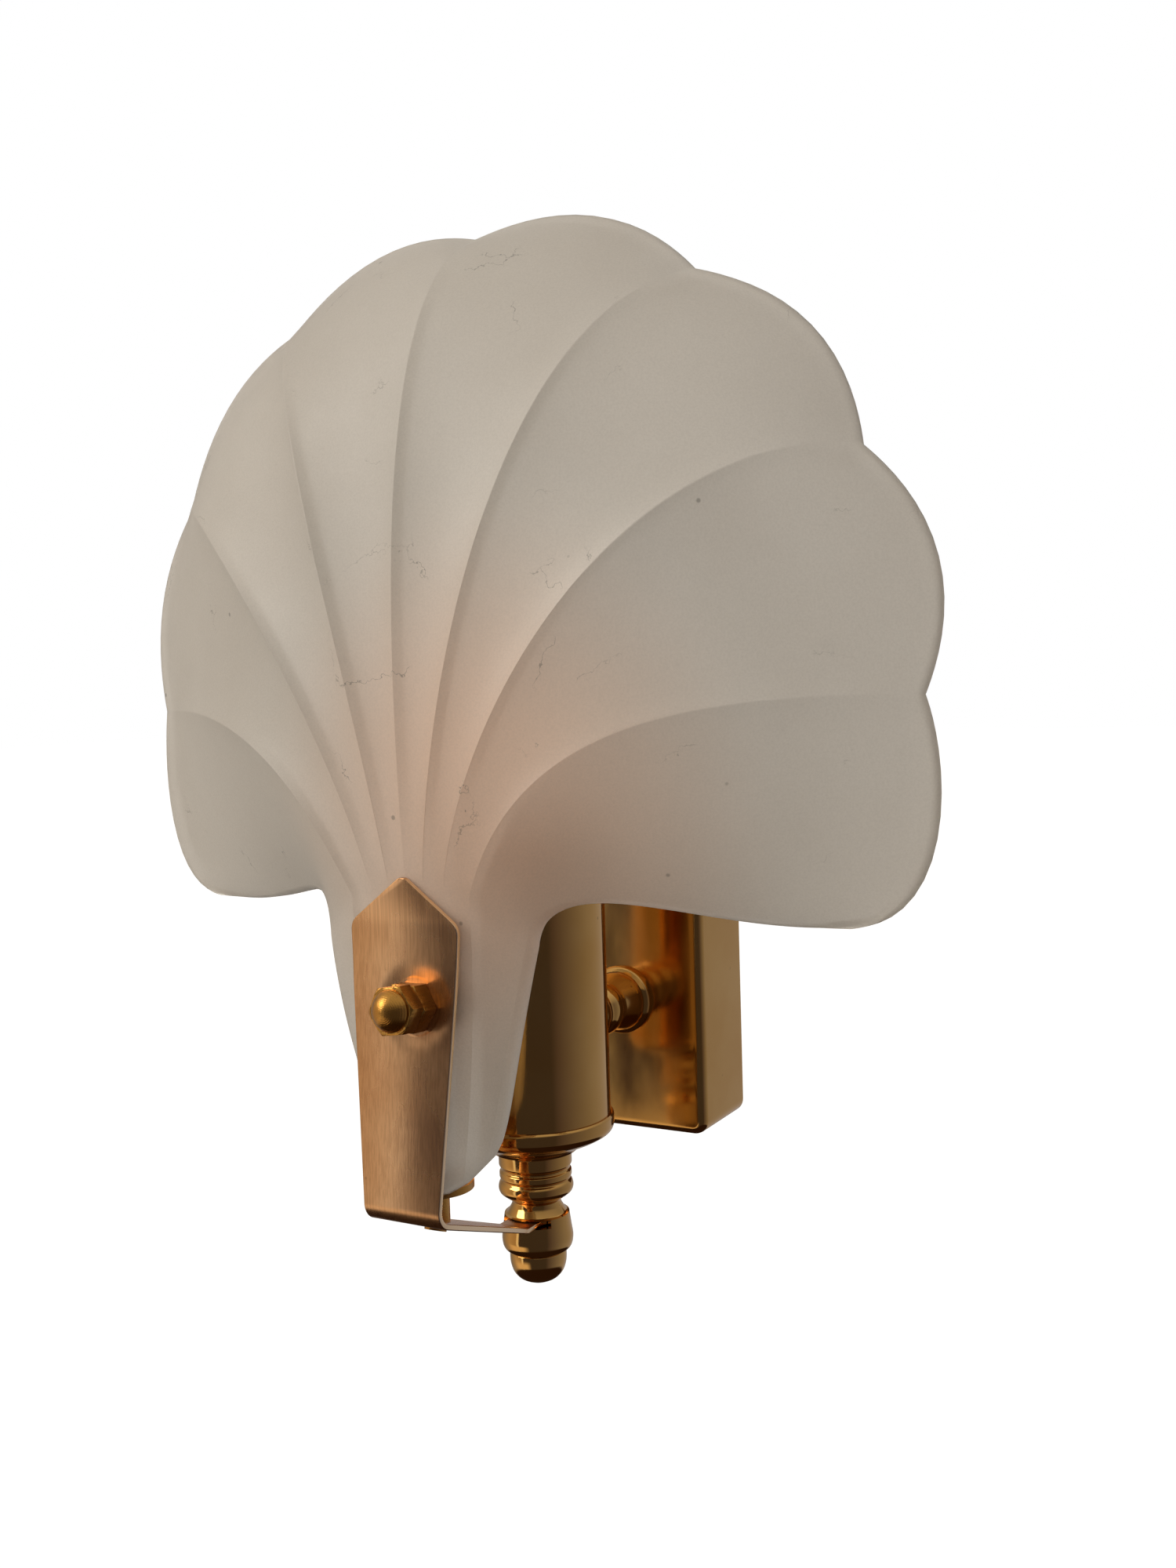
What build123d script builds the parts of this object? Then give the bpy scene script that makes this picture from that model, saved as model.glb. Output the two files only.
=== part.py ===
"""Shell wall sconce: a frosted glass palmette on a brass bracket, tube, arm and wall cover.

Millimetres, +Z up. The wall is the plane Y = 0 and the light stands on its -Y side.
The tube, arm and shade are centred on X = 0. The origin is on the wall, at the height of
the arm. The pieces are drawn in the lamp frame: its origin is on the axis of the lamp
tube, at the top of the collar. They are moved into place when they are written.
"""
import math
import os

from build123d import *

os.makedirs("parts", exist_ok=True)

# ---- driving dimensions -------------------------------------------------------------
REACH = 73.5            # wall to the axis of the lamp tube
ARM_HEIGHT = 18.5       # arm axis above the top of the collar

COVER_WIDTH = 48.0
COVER_HEIGHT = 71.0
COVER_DEPTH = 25.5
COVER_SHEET = 1.2
COVER_CORNER = 4.0      # corner radius seen from the front
COVER_EDGE = 2.2        # rounding of the front edge

STRAP_WIDTH = 20.0
STRAP_SHEET = 2.0
WALL_HOLE_PITCH = 44.0
WALL_HOLE_RADIUS = 2.25

TUBE_RADIUS = 19.0
TUBE_WALL = 1.0
TUBE_TOP = 75.0         # lamp frame height

PIPE_RADIUS = 4.0       # M8x1 pipe under the tube
NIPPLE_RADIUS = 5.0     # M10x1 nipple in the arm
STUD_RADIUS = 3.0       # M6 stud through the glass
THREAD_GAP = 0.05       # radial gap of a nut on its thread
RUNNING_GAP = 0.08      # radial gap of the bracket's eye on the pipe
REST_GAP = 0.3          # gap between pieces that only stand near each other

COLLAR_RIM = 0.8        # how far the collar stands out beyond the tube
COLLAR_STEP = 3.0       # depth of the collar's seat for the tube
COLLAR_LOW = -9.0       # its underside
NECK_LENGTH = 15.8      # finial pieces below it, from the top down
BALL_LENGTH = 9.2
CUP_LENGTH = 8.2

SHEET = 1.3             # thickness of the bracket strip
STRIP_TOP = 65.0        # lamp frame height of the strip's point
STRIP_SHOULDER = 54.5   # lamp frame height of its shoulders
STRIP_WAIST = 40.5      # lower end of its nearly parallel part
STRIP_HALF_WIDE = 14.0  # half width at the shoulders
STRIP_HALF_WAIST = 13.3
STRIP_HALF_LOW = 9.9    # half width at the lower bend
STRIP_FRONT = -51.0     # front face of its upright part, lamp frame Y
STRIP_KNEE = 50.0       # height below which it leans forward
STRIP_LEAN = 0.085      # lean for each millimetre of height
BLADE_LOW = -6.0        # height where its front view gives way to its plan
BEND_RADIUS = 4.5
KNEE_RADIUS = 100.0
SHOULDER_RADIUS = 3.0
LEG_SLOPE = 0.38        # rise of the leg for each millimetre away from the tube
LEG_FRONT = -52.0       # lamp frame Y where the leg starts to narrow
TAB_BACK = -13.0        # and where it has the width of the tab
TAB_START = -11.0       # where the level tab starts
TAB_HALF = 4.2          # half width of the tab where it enters the ball
EYE_WALL = 2.2          # metal round the hole for the pipe
SWIVEL = 12.0           # swing of the shade each way, degrees

GLASS_DEPTH = 4.2       # glass thickness
GLASS_FOOT = -3.6       # lamp frame height of the lowest point of the glass
STUD_HEIGHT = 37.2      # lamp frame height of the stud
STUD_X = 3.2            # it stands a little to the right of the middle
STUD_MARGIN = 1.3       # radial room for a sleeve in the hole through the glass
FRONT_WASHER = 0.8
REAR_WASHER = 1.0
WASHER_RADIUS = 6.5
REAR_GAP = 1.0          # the glass curves away from a square washer behind it
HEX_FLATS = 10.0        # M6 nut across its flats
HEX_HEIGHT = 4.8
ACORN_HEX = 4.2         # height of the hexagon of the cap nut
ACORN_HEIGHT = 7.4
ACORN_TURN = 8.0        # degrees between the flats of the two nuts
REST_RADIUS = 8.6       # disc under the foot of the glass
REST_SHEET = 1.6
REST_PIN = 1.5
REST_SETBACK = 6.3      # its axis, behind the seat of the glass

SOCKET_BASE = 30.0      # lamp frame height of the lampholder's underside
SOCKET_RADIUS = 13.5
SOCKET_HEIGHT = 43.0
CORE_HEIGHT = 12.0
SCREW_SHELL_RADIUS = 7.1  # inside the threaded liner of the lampholder
SCREW_SHELL_LENGTH = 20.0
CONTACT_WELL = 3.0      # depth of the well of the centre contact

LAMP = Location((0, -REACH, -ARM_HEIGHT))
UP = (Align.CENTER, Align.CENTER, Align.MIN)


# ---- helpers ------------------------------------------------------------------------
def write(node, *solids):
    """Write one node, or one group of separate solids, in the row frame."""
    shape = solids[0] if len(solids) == 1 else Compound(children=list(solids))
    export_step(LAMP * shape, f"parts/{node}.step")


def disc(radius, low, high, bore=0.0):
    """A cylinder about Z between two heights, with an optional bore."""
    body = Pos(0, 0, low) * Cylinder(radius, high - low, align=UP)
    if bore:
        body -= Pos(0, 0, low - 1) * Cylinder(bore, high - low + 2, align=UP)
    return body


def along_y(shape, x, y, z):
    """Turn a shape drawn along +Z so that it runs along +Y from the point given."""
    return Pos(x, y, z) * Rot(-90, 0, 0) * shape


def turned(points):
    """Revolve a closed outline of (radius, height) points about Z."""
    outline = Polyline([(r, 0, z) for r, z in points], close=True)
    return revolve(make_face(outline), Axis.Z)


def below(top, steps):
    """Outline points from (radius, drop) steps, measured down from a height."""
    return [(radius, top - drop) for radius, drop in steps]


def mirrored(points):
    """A plan from the points of its right side, which run from one end to the other."""
    return points + [(-x, along) for x, along in reversed(points)]


def hexagon_nut(across_flats, thickness, bore):
    """A hex nut that stands on Z = 0, with its corners turned off."""
    corner = across_flats / math.sqrt(3)
    drop = 0.06 * across_flats
    prism = extrude(RegularPolygon(corner, 6), thickness)
    envelope = turned([(0, 0), (corner - drop, 0), (corner, 0.5 * drop),
                       (corner, thickness - 0.5 * drop), (corner - drop, thickness),
                       (0, thickness)])
    return (prism & envelope) - Pos(0, 0, -1) * Cylinder(bore, thickness + 2, align=UP)


def slotted_screw(head_radius, head_height, shank_radius, length):
    """A slotted screw along +Z: its head stands on Z = 0 and its shank goes below."""
    head = turned([(0, 0), (head_radius, 0), (head_radius, 0.5 * head_height),
                   (0.75 * head_radius, head_height), (0, head_height)])
    head -= Pos(0, 0, 0.9 * head_height) * Box(3 * head_radius, 0.8, head_height)
    return head + disc(shank_radius, -length, 0)


# ---- stack on the stud: cap nut, hex nut, strip, washer, glass, washer, hex nut -------
# STACK stands on the front of the strip, with +Z along the stud towards the wall.
lean = math.degrees(math.atan(STRIP_LEAN))
stack_y = STRIP_FRONT - STRIP_LEAN * (STRIP_KNEE - STUD_HEIGHT)
STACK = Pos(STUD_X, stack_y, STUD_HEIGHT) * Rot(-90 - lean, 0, 0)
FACING_FRONT = STACK * Rot(180, 0, 0)
STUD_BORE = STUD_RADIUS + THREAD_GAP
STUD_HOLE = STUD_RADIUS + STUD_MARGIN
washer_back = SHEET + FRONT_WASHER
rear_face = washer_back + REST_GAP + GLASS_DEPTH + REAR_GAP
nut_seat = rear_face + REAR_WASHER
nut_back = nut_seat + HEX_HEIGHT

# ---- glass shell --------------------------------------------------------------------
# Five ridges run up one half of the shell, from the centre line (0) to its lower edge (4).
# Each has a stem curve and then a fan curve, both cubic, as control points (X, Y, Z).
# Y is measured from the seat of the glass, which is the back of the front washer.
GLASS_SEAT = STRIP_FRONT + washer_back
STEM = [
    [(0.0, -3.1, GLASS_FOOT), (0.0, -1.9, 18.0), (0.0, 0.2, 40.0), (0.0, -0.2, 62.0)],
    [(4.0, -2.7, -3.4), (4.7, -1.8, 18.0), (4.5, 0.2, 40.0), (4.5, -0.2, 62.0)],
    [(7.6, -1.3, -2.6), (9.6, -1.1, 18.0), (9.5, 0.3, 40.0), (9.5, 0.0, 62.0)],
    [(11.0, 1.5, -0.6), (14.2, 1.1, 18.0), (15.6, 1.7, 40.0), (15.5, 0.6, 60.0)],
    [(14.2, 6.4, 3.4), (17.8, 5.4, 14.0), (22.6, 3.9, 33.0), (26.0, 5.9, 50.0)],
]
RIM_Y = 37.4
FAN = [
    [STEM[0][3], (0.0, -2.5, 106.2), (0.0, -6.5, 191.5), (0.0, RIM_Y, 206.9)],
    [STEM[1][3], (8.4, -3.1, 103.1), (30.8, -7.9, 179.7), (54.6, RIM_Y, 192.2)],
    [STEM[2][3], (17.2, -3.5, 100.2), (56.8, -4.6, 153.8), (91.1, RIM_Y, 151.9)],
    [STEM[3][3], (31.4, -5.3, 98.9), (65.5, 10.3, 101.8), (103.1, RIM_Y, 100.5)],
    [STEM[4][3], (28.5, 7.9, 70.0), (56.0, 32.9, 50.5), (87.0, RIM_Y, 51.8)],
]
# How far the two middle control points across each flute lie from a straight line between
# its ridges, at the four levels of the fan: set back on the way, bulging out at the rim.
STRAIGHT = [(0, 0, 0)] * 2
SET_BACK = [STRAIGHT, [(0, 1.1, 0)] * 2, [(0, 2.9, 0)] * 2]
FLUTE = [
    SET_BACK + [[(2.9, 3.6, 11.2)] * 2],
    SET_BACK + [[(8.5, 3.6, 7.7)] * 2],
    SET_BACK + [[(11.2, 3.6, 2.7)] * 2],
    [STRAIGHT, [(0, -1.6, 0)] * 2, [(0, -3.2, 0)] * 2, [(10.2, 2.4, 0), (15.0, 2.4, -14.0)]],
]
# How the back of the glass lies from its front at those levels: (backwards, inwards),
# in glass thicknesses. Inwards is towards the middle of the fan.
STEM_BACK = [(1.0, 0.0)] * 4
FAN_BACK = [(1.0, 0.0), (1.0, 0.0), (1.0, 0.6), (0.4, 0.9)]
FAN_MIDDLE = 95.0       # lamp frame height of the middle of the fan


def back_curve(ridge, levels):
    """The control points of a ridge on the back of the glass."""
    end_x, _, end_z = ridge[3]
    length = math.hypot(end_x, end_z - FAN_MIDDLE)
    points = []
    for (x, y, z), (backwards, inwards) in zip(ridge, levels):
        move = inwards * GLASS_DEPTH / length
        points.append((x - move * end_x, y + backwards * GLASS_DEPTH,
                       z - move * (end_z - FAN_MIDDLE)))
    return points


def across(a, b, moves):
    """The four control points that lead across one flute from a to b."""
    points = [a]
    for part, move in zip((1 / 3, 2 / 3), moves):
        points.append(tuple(p + part * (q - p) + m for p, q, m in zip(a, b, move)))
    return points + [b]


def bezier_face(rows, side):
    return Face.make_bezier_surface([[Vector(side * x, y, z) for x, y, z in r] for r in rows])


def glass_faces(ridges, levels, moves, free_level, side):
    """Front, back and open edges of one half of the stem or of the fan."""
    backs = [back_curve(ridge, levels) for ridge in ridges]
    faces = []
    for i in range(len(ridges) - 1):
        front = [across(a, b, m) for a, b, m in zip(ridges[i], ridges[i + 1], moves[i])]
        back = [across(a, b, m) for a, b, m in zip(backs[i], backs[i + 1], moves[i])]
        faces += [bezier_face(front, side), bezier_face(back, side)]
        faces.append(bezier_face([front[free_level], back[free_level]], side))
    faces.append(bezier_face([ridges[-1], backs[-1]], side))
    return faces


def glass_shell():
    """The whole palmette, closed from its Bezier faces and drilled for the stud."""
    still = [[STRAIGHT] * 4] * 4
    faces = []
    for side in (1, -1):
        faces += glass_faces(STEM, STEM_BACK, still, 0, side)
        faces += glass_faces(FAN, FAN_BACK, FLUTE, 3, side)
    body = Solid(Shell(faces))
    if body.volume < 0:
        body = -body
    return Pos(0, GLASS_SEAT, 0) * body - STACK * Cylinder(STUD_HOLE, 30)


# ---- strip --------------------------------------------------------------------------
PIPE_BORE = PIPE_RADIUS + THREAD_GAP
EYE_RADIUS = PIPE_RADIUS + EYE_WALL
BALL_SPLIT = COLLAR_LOW - NECK_LENGTH
TAB_LOW = BALL_SPLIT - REST_GAP - SHEET
REST_Y = GLASS_SEAT + REST_SETBACK
REST_TOP = GLASS_FOOT - REST_GAP
BEYOND = 80.0           # outside everything, for cutting outlines and tools


def glass_bracket():
    """The strip: a leaning blade, a bend, a sloping leg and a tab with an eye."""
    drop = STRIP_KNEE - TAB_LOW - LEG_SLOPE * TAB_START
    bend_y = (STRIP_FRONT - STRIP_LEAN * drop) / (1 + STRIP_LEAN * LEG_SLOPE)
    bend_z = TAB_LOW + LEG_SLOPE * (TAB_START - bend_y)
    front = Polyline((0, STRIP_FRONT, STRIP_TOP), (0, STRIP_FRONT, STRIP_KNEE),
                     (0, bend_y, bend_z), (0, TAB_START, TAB_LOW), (0, EYE_RADIUS, TAB_LOW))
    front = fillet(front.vertices()[2:4], BEND_RADIUS)
    front = fillet(front.vertices()[1], KNEE_RADIUS)
    side = offset(front, amount=SHEET, side=Side.LEFT)
    sheet = extrude(make_face(side), amount=STRIP_HALF_WIDE + 1, both=True)

    right = [(0, STRIP_TOP), (STRIP_HALF_WIDE, STRIP_SHOULDER),
             (STRIP_HALF_WAIST, STRIP_WAIST), (STRIP_HALF_LOW, BLADE_LOW)]
    blade_plan = right + [(-x, z) for x, z in reversed(right[1:])]
    blade = make_face(Polyline([(x, -BEYOND, z) for x, z in blade_plan], close=True))
    shoulders = blade.vertices().sort_by(Axis.Z)[-3:-1]
    blade = sheet & extrude(fillet(shoulders, SHOULDER_RADIUS), amount=0.5 * BEYOND,
                            dir=(0, 1, 0))

    leg_plan = mirrored([(STRIP_HALF_LOW, -BEYOND), (STRIP_HALF_LOW, LEG_FRONT),
                         (TAB_HALF, TAB_BACK), (TAB_HALF, 0)])
    leg = make_face(Polyline([(x, y, -BEYOND) for x, y in leg_plan], close=True))
    leg = extrude(leg, amount=BEYOND + BLADE_LOW) + disc(EYE_RADIUS, -BEYOND, BLADE_LOW)
    strip = blade + (sheet & leg)
    strip -= disc(PIPE_RADIUS + RUNNING_GAP, -BEYOND, BLADE_LOW)
    strip -= STACK * Cylinder(STUD_BORE, 10)
    return strip - Pos(0, REST_Y, 0) * disc(REST_PIN + THREAD_GAP, -BEYOND, 0)


def rest_post():
    """A post that stands square on the sloping leg, with a pin riveted below it."""
    tilt = math.degrees(math.atan(LEG_SLOPE))
    leg_top = TAB_LOW + LEG_SLOPE * (TAB_START - REST_Y) + SHEET * math.hypot(1, LEG_SLOPE)
    foot = Pos(0, REST_Y, leg_top) * Rot(-tilt, 0, 0)
    post = Pos(0, REST_Y, 0) * disc(2 * REST_PIN, -BEYOND, REST_TOP - REST_SHEET)
    post -= foot * Pos(0, 0, -BEYOND) * Box(BEYOND, BEYOND, 2 * BEYOND)
    rivet_face = -SHEET - REST_GAP
    pin = Pos(0, REST_Y, 0) * disc(REST_PIN, -BEYOND, REST_TOP - 0.5 * REST_SHEET)
    pin -= foot * Pos(0, 0, rivet_face - BEYOND) * Box(BEYOND, BEYOND, 2 * BEYOND)
    rivet = foot * disc(2.5, rivet_face - 0.6, -SHEET)
    return post + pin + rivet


write("glass_shell", glass_shell())
write("glass_bracket", glass_bracket())
write("rest_disc", Pos(0, REST_Y, 0) * disc(REST_RADIUS, REST_TOP - REST_SHEET, REST_TOP,
                                            REST_PIN + THREAD_GAP))
write("rest_post", rest_post())


def acorn_nut():
    """A cap nut along +Z: hexagon at Z = 0, low dome above, blind bore below."""
    radius = 0.45 * HEX_FLATS
    rise = ACORN_HEIGHT - ACORN_HEX - 0.3
    curve = (radius ** 2 + rise ** 2) / (2 * rise)
    dome = disc(radius, 0.5, ACORN_HEIGHT) & Pos(0, 0, ACORN_HEIGHT - curve) * Sphere(curve)
    base = hexagon_nut(HEX_FLATS, ACORN_HEX, 0.5 * STUD_RADIUS)
    return base + dome - disc(STUD_BORE, -1, ACORN_HEIGHT - 2.0)


hex_nut = hexagon_nut(HEX_FLATS, HEX_HEIGHT, STUD_BORE)
write("shade_stud", STACK * disc(STUD_RADIUS, -HEX_HEIGHT - 5.0, nut_back + 1.2))
write("bracket_hex_nut", FACING_FRONT * hex_nut)
write("acorn_nut", FACING_FRONT * Pos(0, 0, HEX_HEIGHT) * Rot(0, 0, ACORN_TURN) * acorn_nut())
write("front_washer", STACK * disc(WASHER_RADIUS, SHEET, washer_back, STUD_BORE))
write("stud_sleeve", STACK * disc(STUD_HOLE - REST_GAP, washer_back, rear_face, STUD_BORE))
write("rear_washer", STACK * disc(WASHER_RADIUS, rear_face, nut_seat, STUD_BORE))
write("rear_hex_nut", STACK * Pos(0, 0, nut_seat) * hex_nut)

# ---- tube, collar and finial on the threaded pipe -----------------------------------
CUP_TOP = BALL_SPLIT - BALL_LENGTH
CUP_LOW = CUP_TOP - CUP_LENGTH
TUBE_INSIDE = TUBE_RADIUS - TUBE_WALL
NIPPLE_BORE = NIPPLE_RADIUS + THREAD_GAP
tube_seat = TUBE_RADIUS + THREAD_GAP
collar_radius = TUBE_RADIUS + COLLAR_RIM
cap_floor = COLLAR_LOW + 2.5

tube = disc(TUBE_RADIUS, -COLLAR_STEP, TUBE_TOP, TUBE_INSIDE)
write("lamp_tube", tube - along_y(disc(NIPPLE_BORE, 0, 2 * TUBE_RADIUS), 0, 0, ARM_HEIGHT))

write("tube_cap", turned([
    (PIPE_BORE, COLLAR_LOW), (10.5, COLLAR_LOW), (11.0, COLLAR_LOW + 0.8),
    (collar_radius - 5.8, COLLAR_LOW + 2.2), (collar_radius - 2.6, COLLAR_LOW + 3.6),
    (collar_radius - 0.6, -COLLAR_STEP - 1.2), (collar_radius, -COLLAR_STEP),
    (collar_radius, -0.6), (collar_radius - 0.3, 0), (tube_seat, 0),
    (tube_seat, -COLLAR_STEP), (TUBE_INSIDE - 1, -COLLAR_STEP), (10.0, cap_floor),
    (PIPE_BORE, cap_floor)]))

# The neck has a band, a ring, a torus, a waist and the upper part of the ball.
neck_steps = [(PIPE_BORE, 0), (8.6, 0), (9.0, 0.6), (9.0, 3.6), (8.4, 4.2), (8.4, 4.8),
              (8.9, 5.2), (8.9, 6.6), (8.3, 7.1), (9.0, 7.9), (9.3, 9.1), (9.0, 10.3),
              (7.6, 11.4), (5.9, 12.4), (6.1, 13.6), (7.3, 15.6), (8.0, NECK_LENGTH),
              (PIPE_BORE, NECK_LENGTH)]
write("finial_neck", turned(below(COLLAR_LOW, neck_steps)))

# The ball is recessed for the eye, and open in front as wide as the tab swings.
ball_steps = [(PIPE_BORE, 0), (8.0, 0), (8.5, 3.8), (8.85, 6.0), (8.6, 7.8), (8.0, 8.9),
              (6.6, BALL_LENGTH), (PIPE_BORE, BALL_LENGTH)]
ball = turned(below(BALL_SPLIT, ball_steps))
recess = EYE_RADIUS + REST_GAP
eye_floor = TAB_LOW - REST_GAP
window_angle = math.asin(TAB_HALF / recess) + math.radians(SWIVEL + 3.0)
window_x = BEYOND * math.sin(window_angle)
window_y = -BEYOND * math.cos(window_angle)
window = make_face(Polyline([(0, 0, eye_floor), (window_x, window_y, eye_floor),
                             (-window_x, window_y, eye_floor)], close=True))
write("finial_ball", ball - extrude(window, amount=10) - disc(recess, eye_floor, 0))

cup_steps = [(0, 0), (PIPE_BORE, 0), (6.6, 0), (7.0, 0.4), (7.0, 3.0), (6.3, 5.4), (4.8, 7.1),
             (2.5, 8.1), (0, CUP_LENGTH)]
write("finial_cup", turned(below(CUP_TOP, cup_steps)) - disc(PIPE_BORE, CUP_TOP - 5, 0))

write("stem_pipe", disc(PIPE_RADIUS, CUP_TOP - 4.5, SOCKET_BASE + 4, PIPE_RADIUS - 1.1))
write("cap_nut", Pos(0, 0, cap_floor) * hexagon_nut(13, 3.0, PIPE_BORE))

# ---- arm ----------------------------------------------------------------------------
COVER_FRONT = REACH - COVER_DEPTH
FLANGE = 2.5
arm_end = COVER_FRONT - FLANGE
# Beads of the arm, as (radius, distance in front of the flange), from the wall side.
arm_steps = [(7.8, 0), (7.8, 1.5), (6.6, 5.5), (6.0, 7.5), (6.9, 9.1), (7.2, 10.9), (6.9, 12.9),
             (6.0, 14.5), (7.0, 16.5), (7.6, 19.0), (7.0, 21.5), (5.9, 23.5), (6.3, 24.5)]
arm_start = TUBE_RADIUS - 4.0
beads = [(r, y) for r, y in below(arm_end, arm_steps) if y > arm_start]
arm = turned([(NIPPLE_BORE, arm_end)] + beads + [(beads[-1][0], arm_start),
                                                 (NIPPLE_BORE, arm_start)])
write("arm_body", along_y(arm, 0, 0, ARM_HEIGHT) - disc(tube_seat, 0, 2 * ARM_HEIGHT + 3))
flange = turned([(NIPPLE_BORE, 0), (8.2, 0), (9.2, 0.9), (9.2, FLANGE), (NIPPLE_BORE, FLANGE)])
write("arm_flange", along_y(flange, 0, arm_end, ARM_HEIGHT))

SADDLE_DEPTH = 5.0
NUT_HEIGHT = 2.8
saddle_y = TUBE_RADIUS - SADDLE_DEPTH
cover_back = COVER_FRONT + COVER_SHEET
saddle = along_y(disc(7.5, 0, 8, NIPPLE_BORE), 0, saddle_y, ARM_HEIGHT)
saddle &= disc(TUBE_INSIDE - THREAD_GAP, 0, 2 * ARM_HEIGHT + 3)
cover_washer = along_y(disc(9.5, 0, 1.0, NIPPLE_BORE), 0, cover_back, ARM_HEIGHT)
write("nipple_washers", saddle, cover_washer)
nipple_nut = hexagon_nut(14, NUT_HEIGHT, NIPPLE_BORE)
write("nipple_nuts", along_y(nipple_nut, 0, saddle_y - NUT_HEIGHT, ARM_HEIGHT),
      along_y(nipple_nut, 0, cover_back + 1.0, ARM_HEIGHT))
nipple_start = saddle_y - NUT_HEIGHT - 1.7
nipple_length = cover_back + 5.0 - nipple_start
write("arm_nipple", along_y(disc(NIPPLE_RADIUS, 0, nipple_length, NIPPLE_RADIUS - 1.0),
                            0, nipple_start, ARM_HEIGHT))

# ---- wall cover and what is inside it -----------------------------------------------
EAR_Y = REACH - 9.0
SCREW_RADIUS = 2.0
half = COVER_HEIGHT / 2


def soft_box(width, depth, height, corner, edge, middle_y):
    """A box whose long corners and front edge are rounded."""
    box = Pos(0, middle_y, ARM_HEIGHT) * Box(width, depth, height)
    box = fillet(box.edges().filter_by(Axis.Y), corner)
    return fillet(box.faces().sort_by(Axis.Y)[0].edges(), edge)


cover_middle = REACH - COVER_DEPTH / 2
cover = soft_box(COVER_WIDTH, COVER_DEPTH, COVER_HEIGHT, COVER_CORNER, COVER_EDGE, cover_middle)
cover -= soft_box(COVER_WIDTH - 2 * COVER_SHEET, COVER_DEPTH, COVER_HEIGHT - 2 * COVER_SHEET,
                  COVER_CORNER - COVER_SHEET, COVER_EDGE - COVER_SHEET,
                  cover_middle + COVER_SHEET)
cover -= along_y(disc(NIPPLE_BORE, -4, 6), 0, COVER_FRONT, ARM_HEIGHT)
cover -= Pos(0, EAR_Y, ARM_HEIGHT) * disc(SCREW_RADIUS + 0.2, -half - 1, half + 1)
write("wall_cover", cover)

ear_face = half - COVER_SHEET - REST_GAP
strap = Pos(0, REACH - STRAP_SHEET / 2, ARM_HEIGHT) * Box(STRAP_WIDTH, STRAP_SHEET, 2 * ear_face)
for sign in (1, -1):
    ear_z = ARM_HEIGHT + sign * (ear_face - STRAP_SHEET / 2)
    strap += Pos(0, EAR_Y + 1.5, ear_z) * Box(STRAP_WIDTH - 6, 15, STRAP_SHEET)
    strap -= along_y(disc(WALL_HOLE_RADIUS, -6, 4), 0, REACH,
                     ARM_HEIGHT + sign * WALL_HOLE_PITCH / 2)
strap -= Pos(0, EAR_Y, ARM_HEIGHT) * disc(SCREW_RADIUS + THREAD_GAP, -half, half)
EARTH = (5.0, ARM_HEIGHT + 6.0)
BLOCK_SCREW = (0.0, ARM_HEIGHT - 13.0)
for x, z in (EARTH, BLOCK_SCREW):
    strap -= along_y(disc(1.5 + THREAD_GAP, -6, 4), x, REACH, z)
write("wall_strap", strap)

cover_screw = slotted_screw(3.2, 1.8, SCREW_RADIUS, 7.5)
write("cover_screws", Pos(0, EAR_Y, ARM_HEIGHT + half) * cover_screw,
      Pos(0, EAR_Y, ARM_HEIGHT - half) * Rot(180, 0, 0) * cover_screw)

strap_face = REACH - STRAP_SHEET
FACING_OUT = Rot(90, 0, 0)
EARTH_WASHER = 0.6
write("earth_washer", along_y(disc(3.4, 0, EARTH_WASHER, 1.6), EARTH[0],
                              strap_face - EARTH_WASHER, EARTH[1]))
write("earth_screw", Pos(EARTH[0], strap_face - EARTH_WASHER, EARTH[1]) * FACING_OUT
      * slotted_screw(2.8, 1.8, 1.5, EARTH_WASHER + STRAP_SHEET - 0.2))

BLOCK_POLE = 6.5        # from the middle of the block to each of its two tubes
BLOCK_WIDTH, BLOCK_DEPTH, BLOCK_HEIGHT = 20.0, 10.0, 13.0
block_y = strap_face - BLOCK_DEPTH / 2
block_front = strap_face - BLOCK_DEPTH
block_z = BLOCK_SCREW[1]
block = Pos(0, block_y, block_z) * Box(BLOCK_WIDTH, BLOCK_DEPTH, BLOCK_HEIGHT)
block = fillet(block.edges().filter_by(Axis.Z), 1.2)
block -= along_y(disc(3.2, -1, 6), 0, block_front, block_z)
block -= along_y(disc(1.6, -1, BLOCK_DEPTH + 1), 0, block_front, block_z)
tubes = []
screws = []
for x in (-BLOCK_POLE, BLOCK_POLE):
    block -= Pos(x, block_y, block_z) * Cylinder(2.6, BLOCK_HEIGHT + 2)
    block -= along_y(disc(1.8, -1, 5), x, block_front, block_z)
    tube = Pos(x, block_y, block_z) * (Cylinder(2.55, BLOCK_HEIGHT - 1) - Cylinder(1.5, 30))
    tubes.append(tube - along_y(disc(1.3, -6, 0), x, block_y, block_z))
    screws.append(Pos(x, block_y - 1.6, block_z) * FACING_OUT * disc(1.25, 0, 3.0))
write("terminal_block", block)
write("terminal_tubes", *tubes)
write("terminal_screws", *screws)
write("block_screw", Pos(0, block_front + 6, block_z) * FACING_OUT
      * slotted_screw(2.8, 1.8, 1.5, 5.5))

# ---- lampholder inside the tube -----------------------------------------------------
core_low = SOCKET_BASE + 6
core_top = core_low + CORE_HEIGHT
well_floor = core_top - CONTACT_WELL
sleeve_low = SOCKET_BASE + 12
CORE_RADIUS = 11.2
HOLDER_SCREW_X = 7.0
base = disc(SOCKET_RADIUS, SOCKET_BASE, sleeve_low, PIPE_BORE)
base -= disc(9.5, SOCKET_BASE + 3, core_low)
base -= disc(CORE_RADIUS + REST_GAP, core_low, sleeve_low + 1)
base -= Pos(0, 7.5, SOCKET_BASE) * disc(2.2, -1, 5)
write("holder_base", base)

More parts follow.
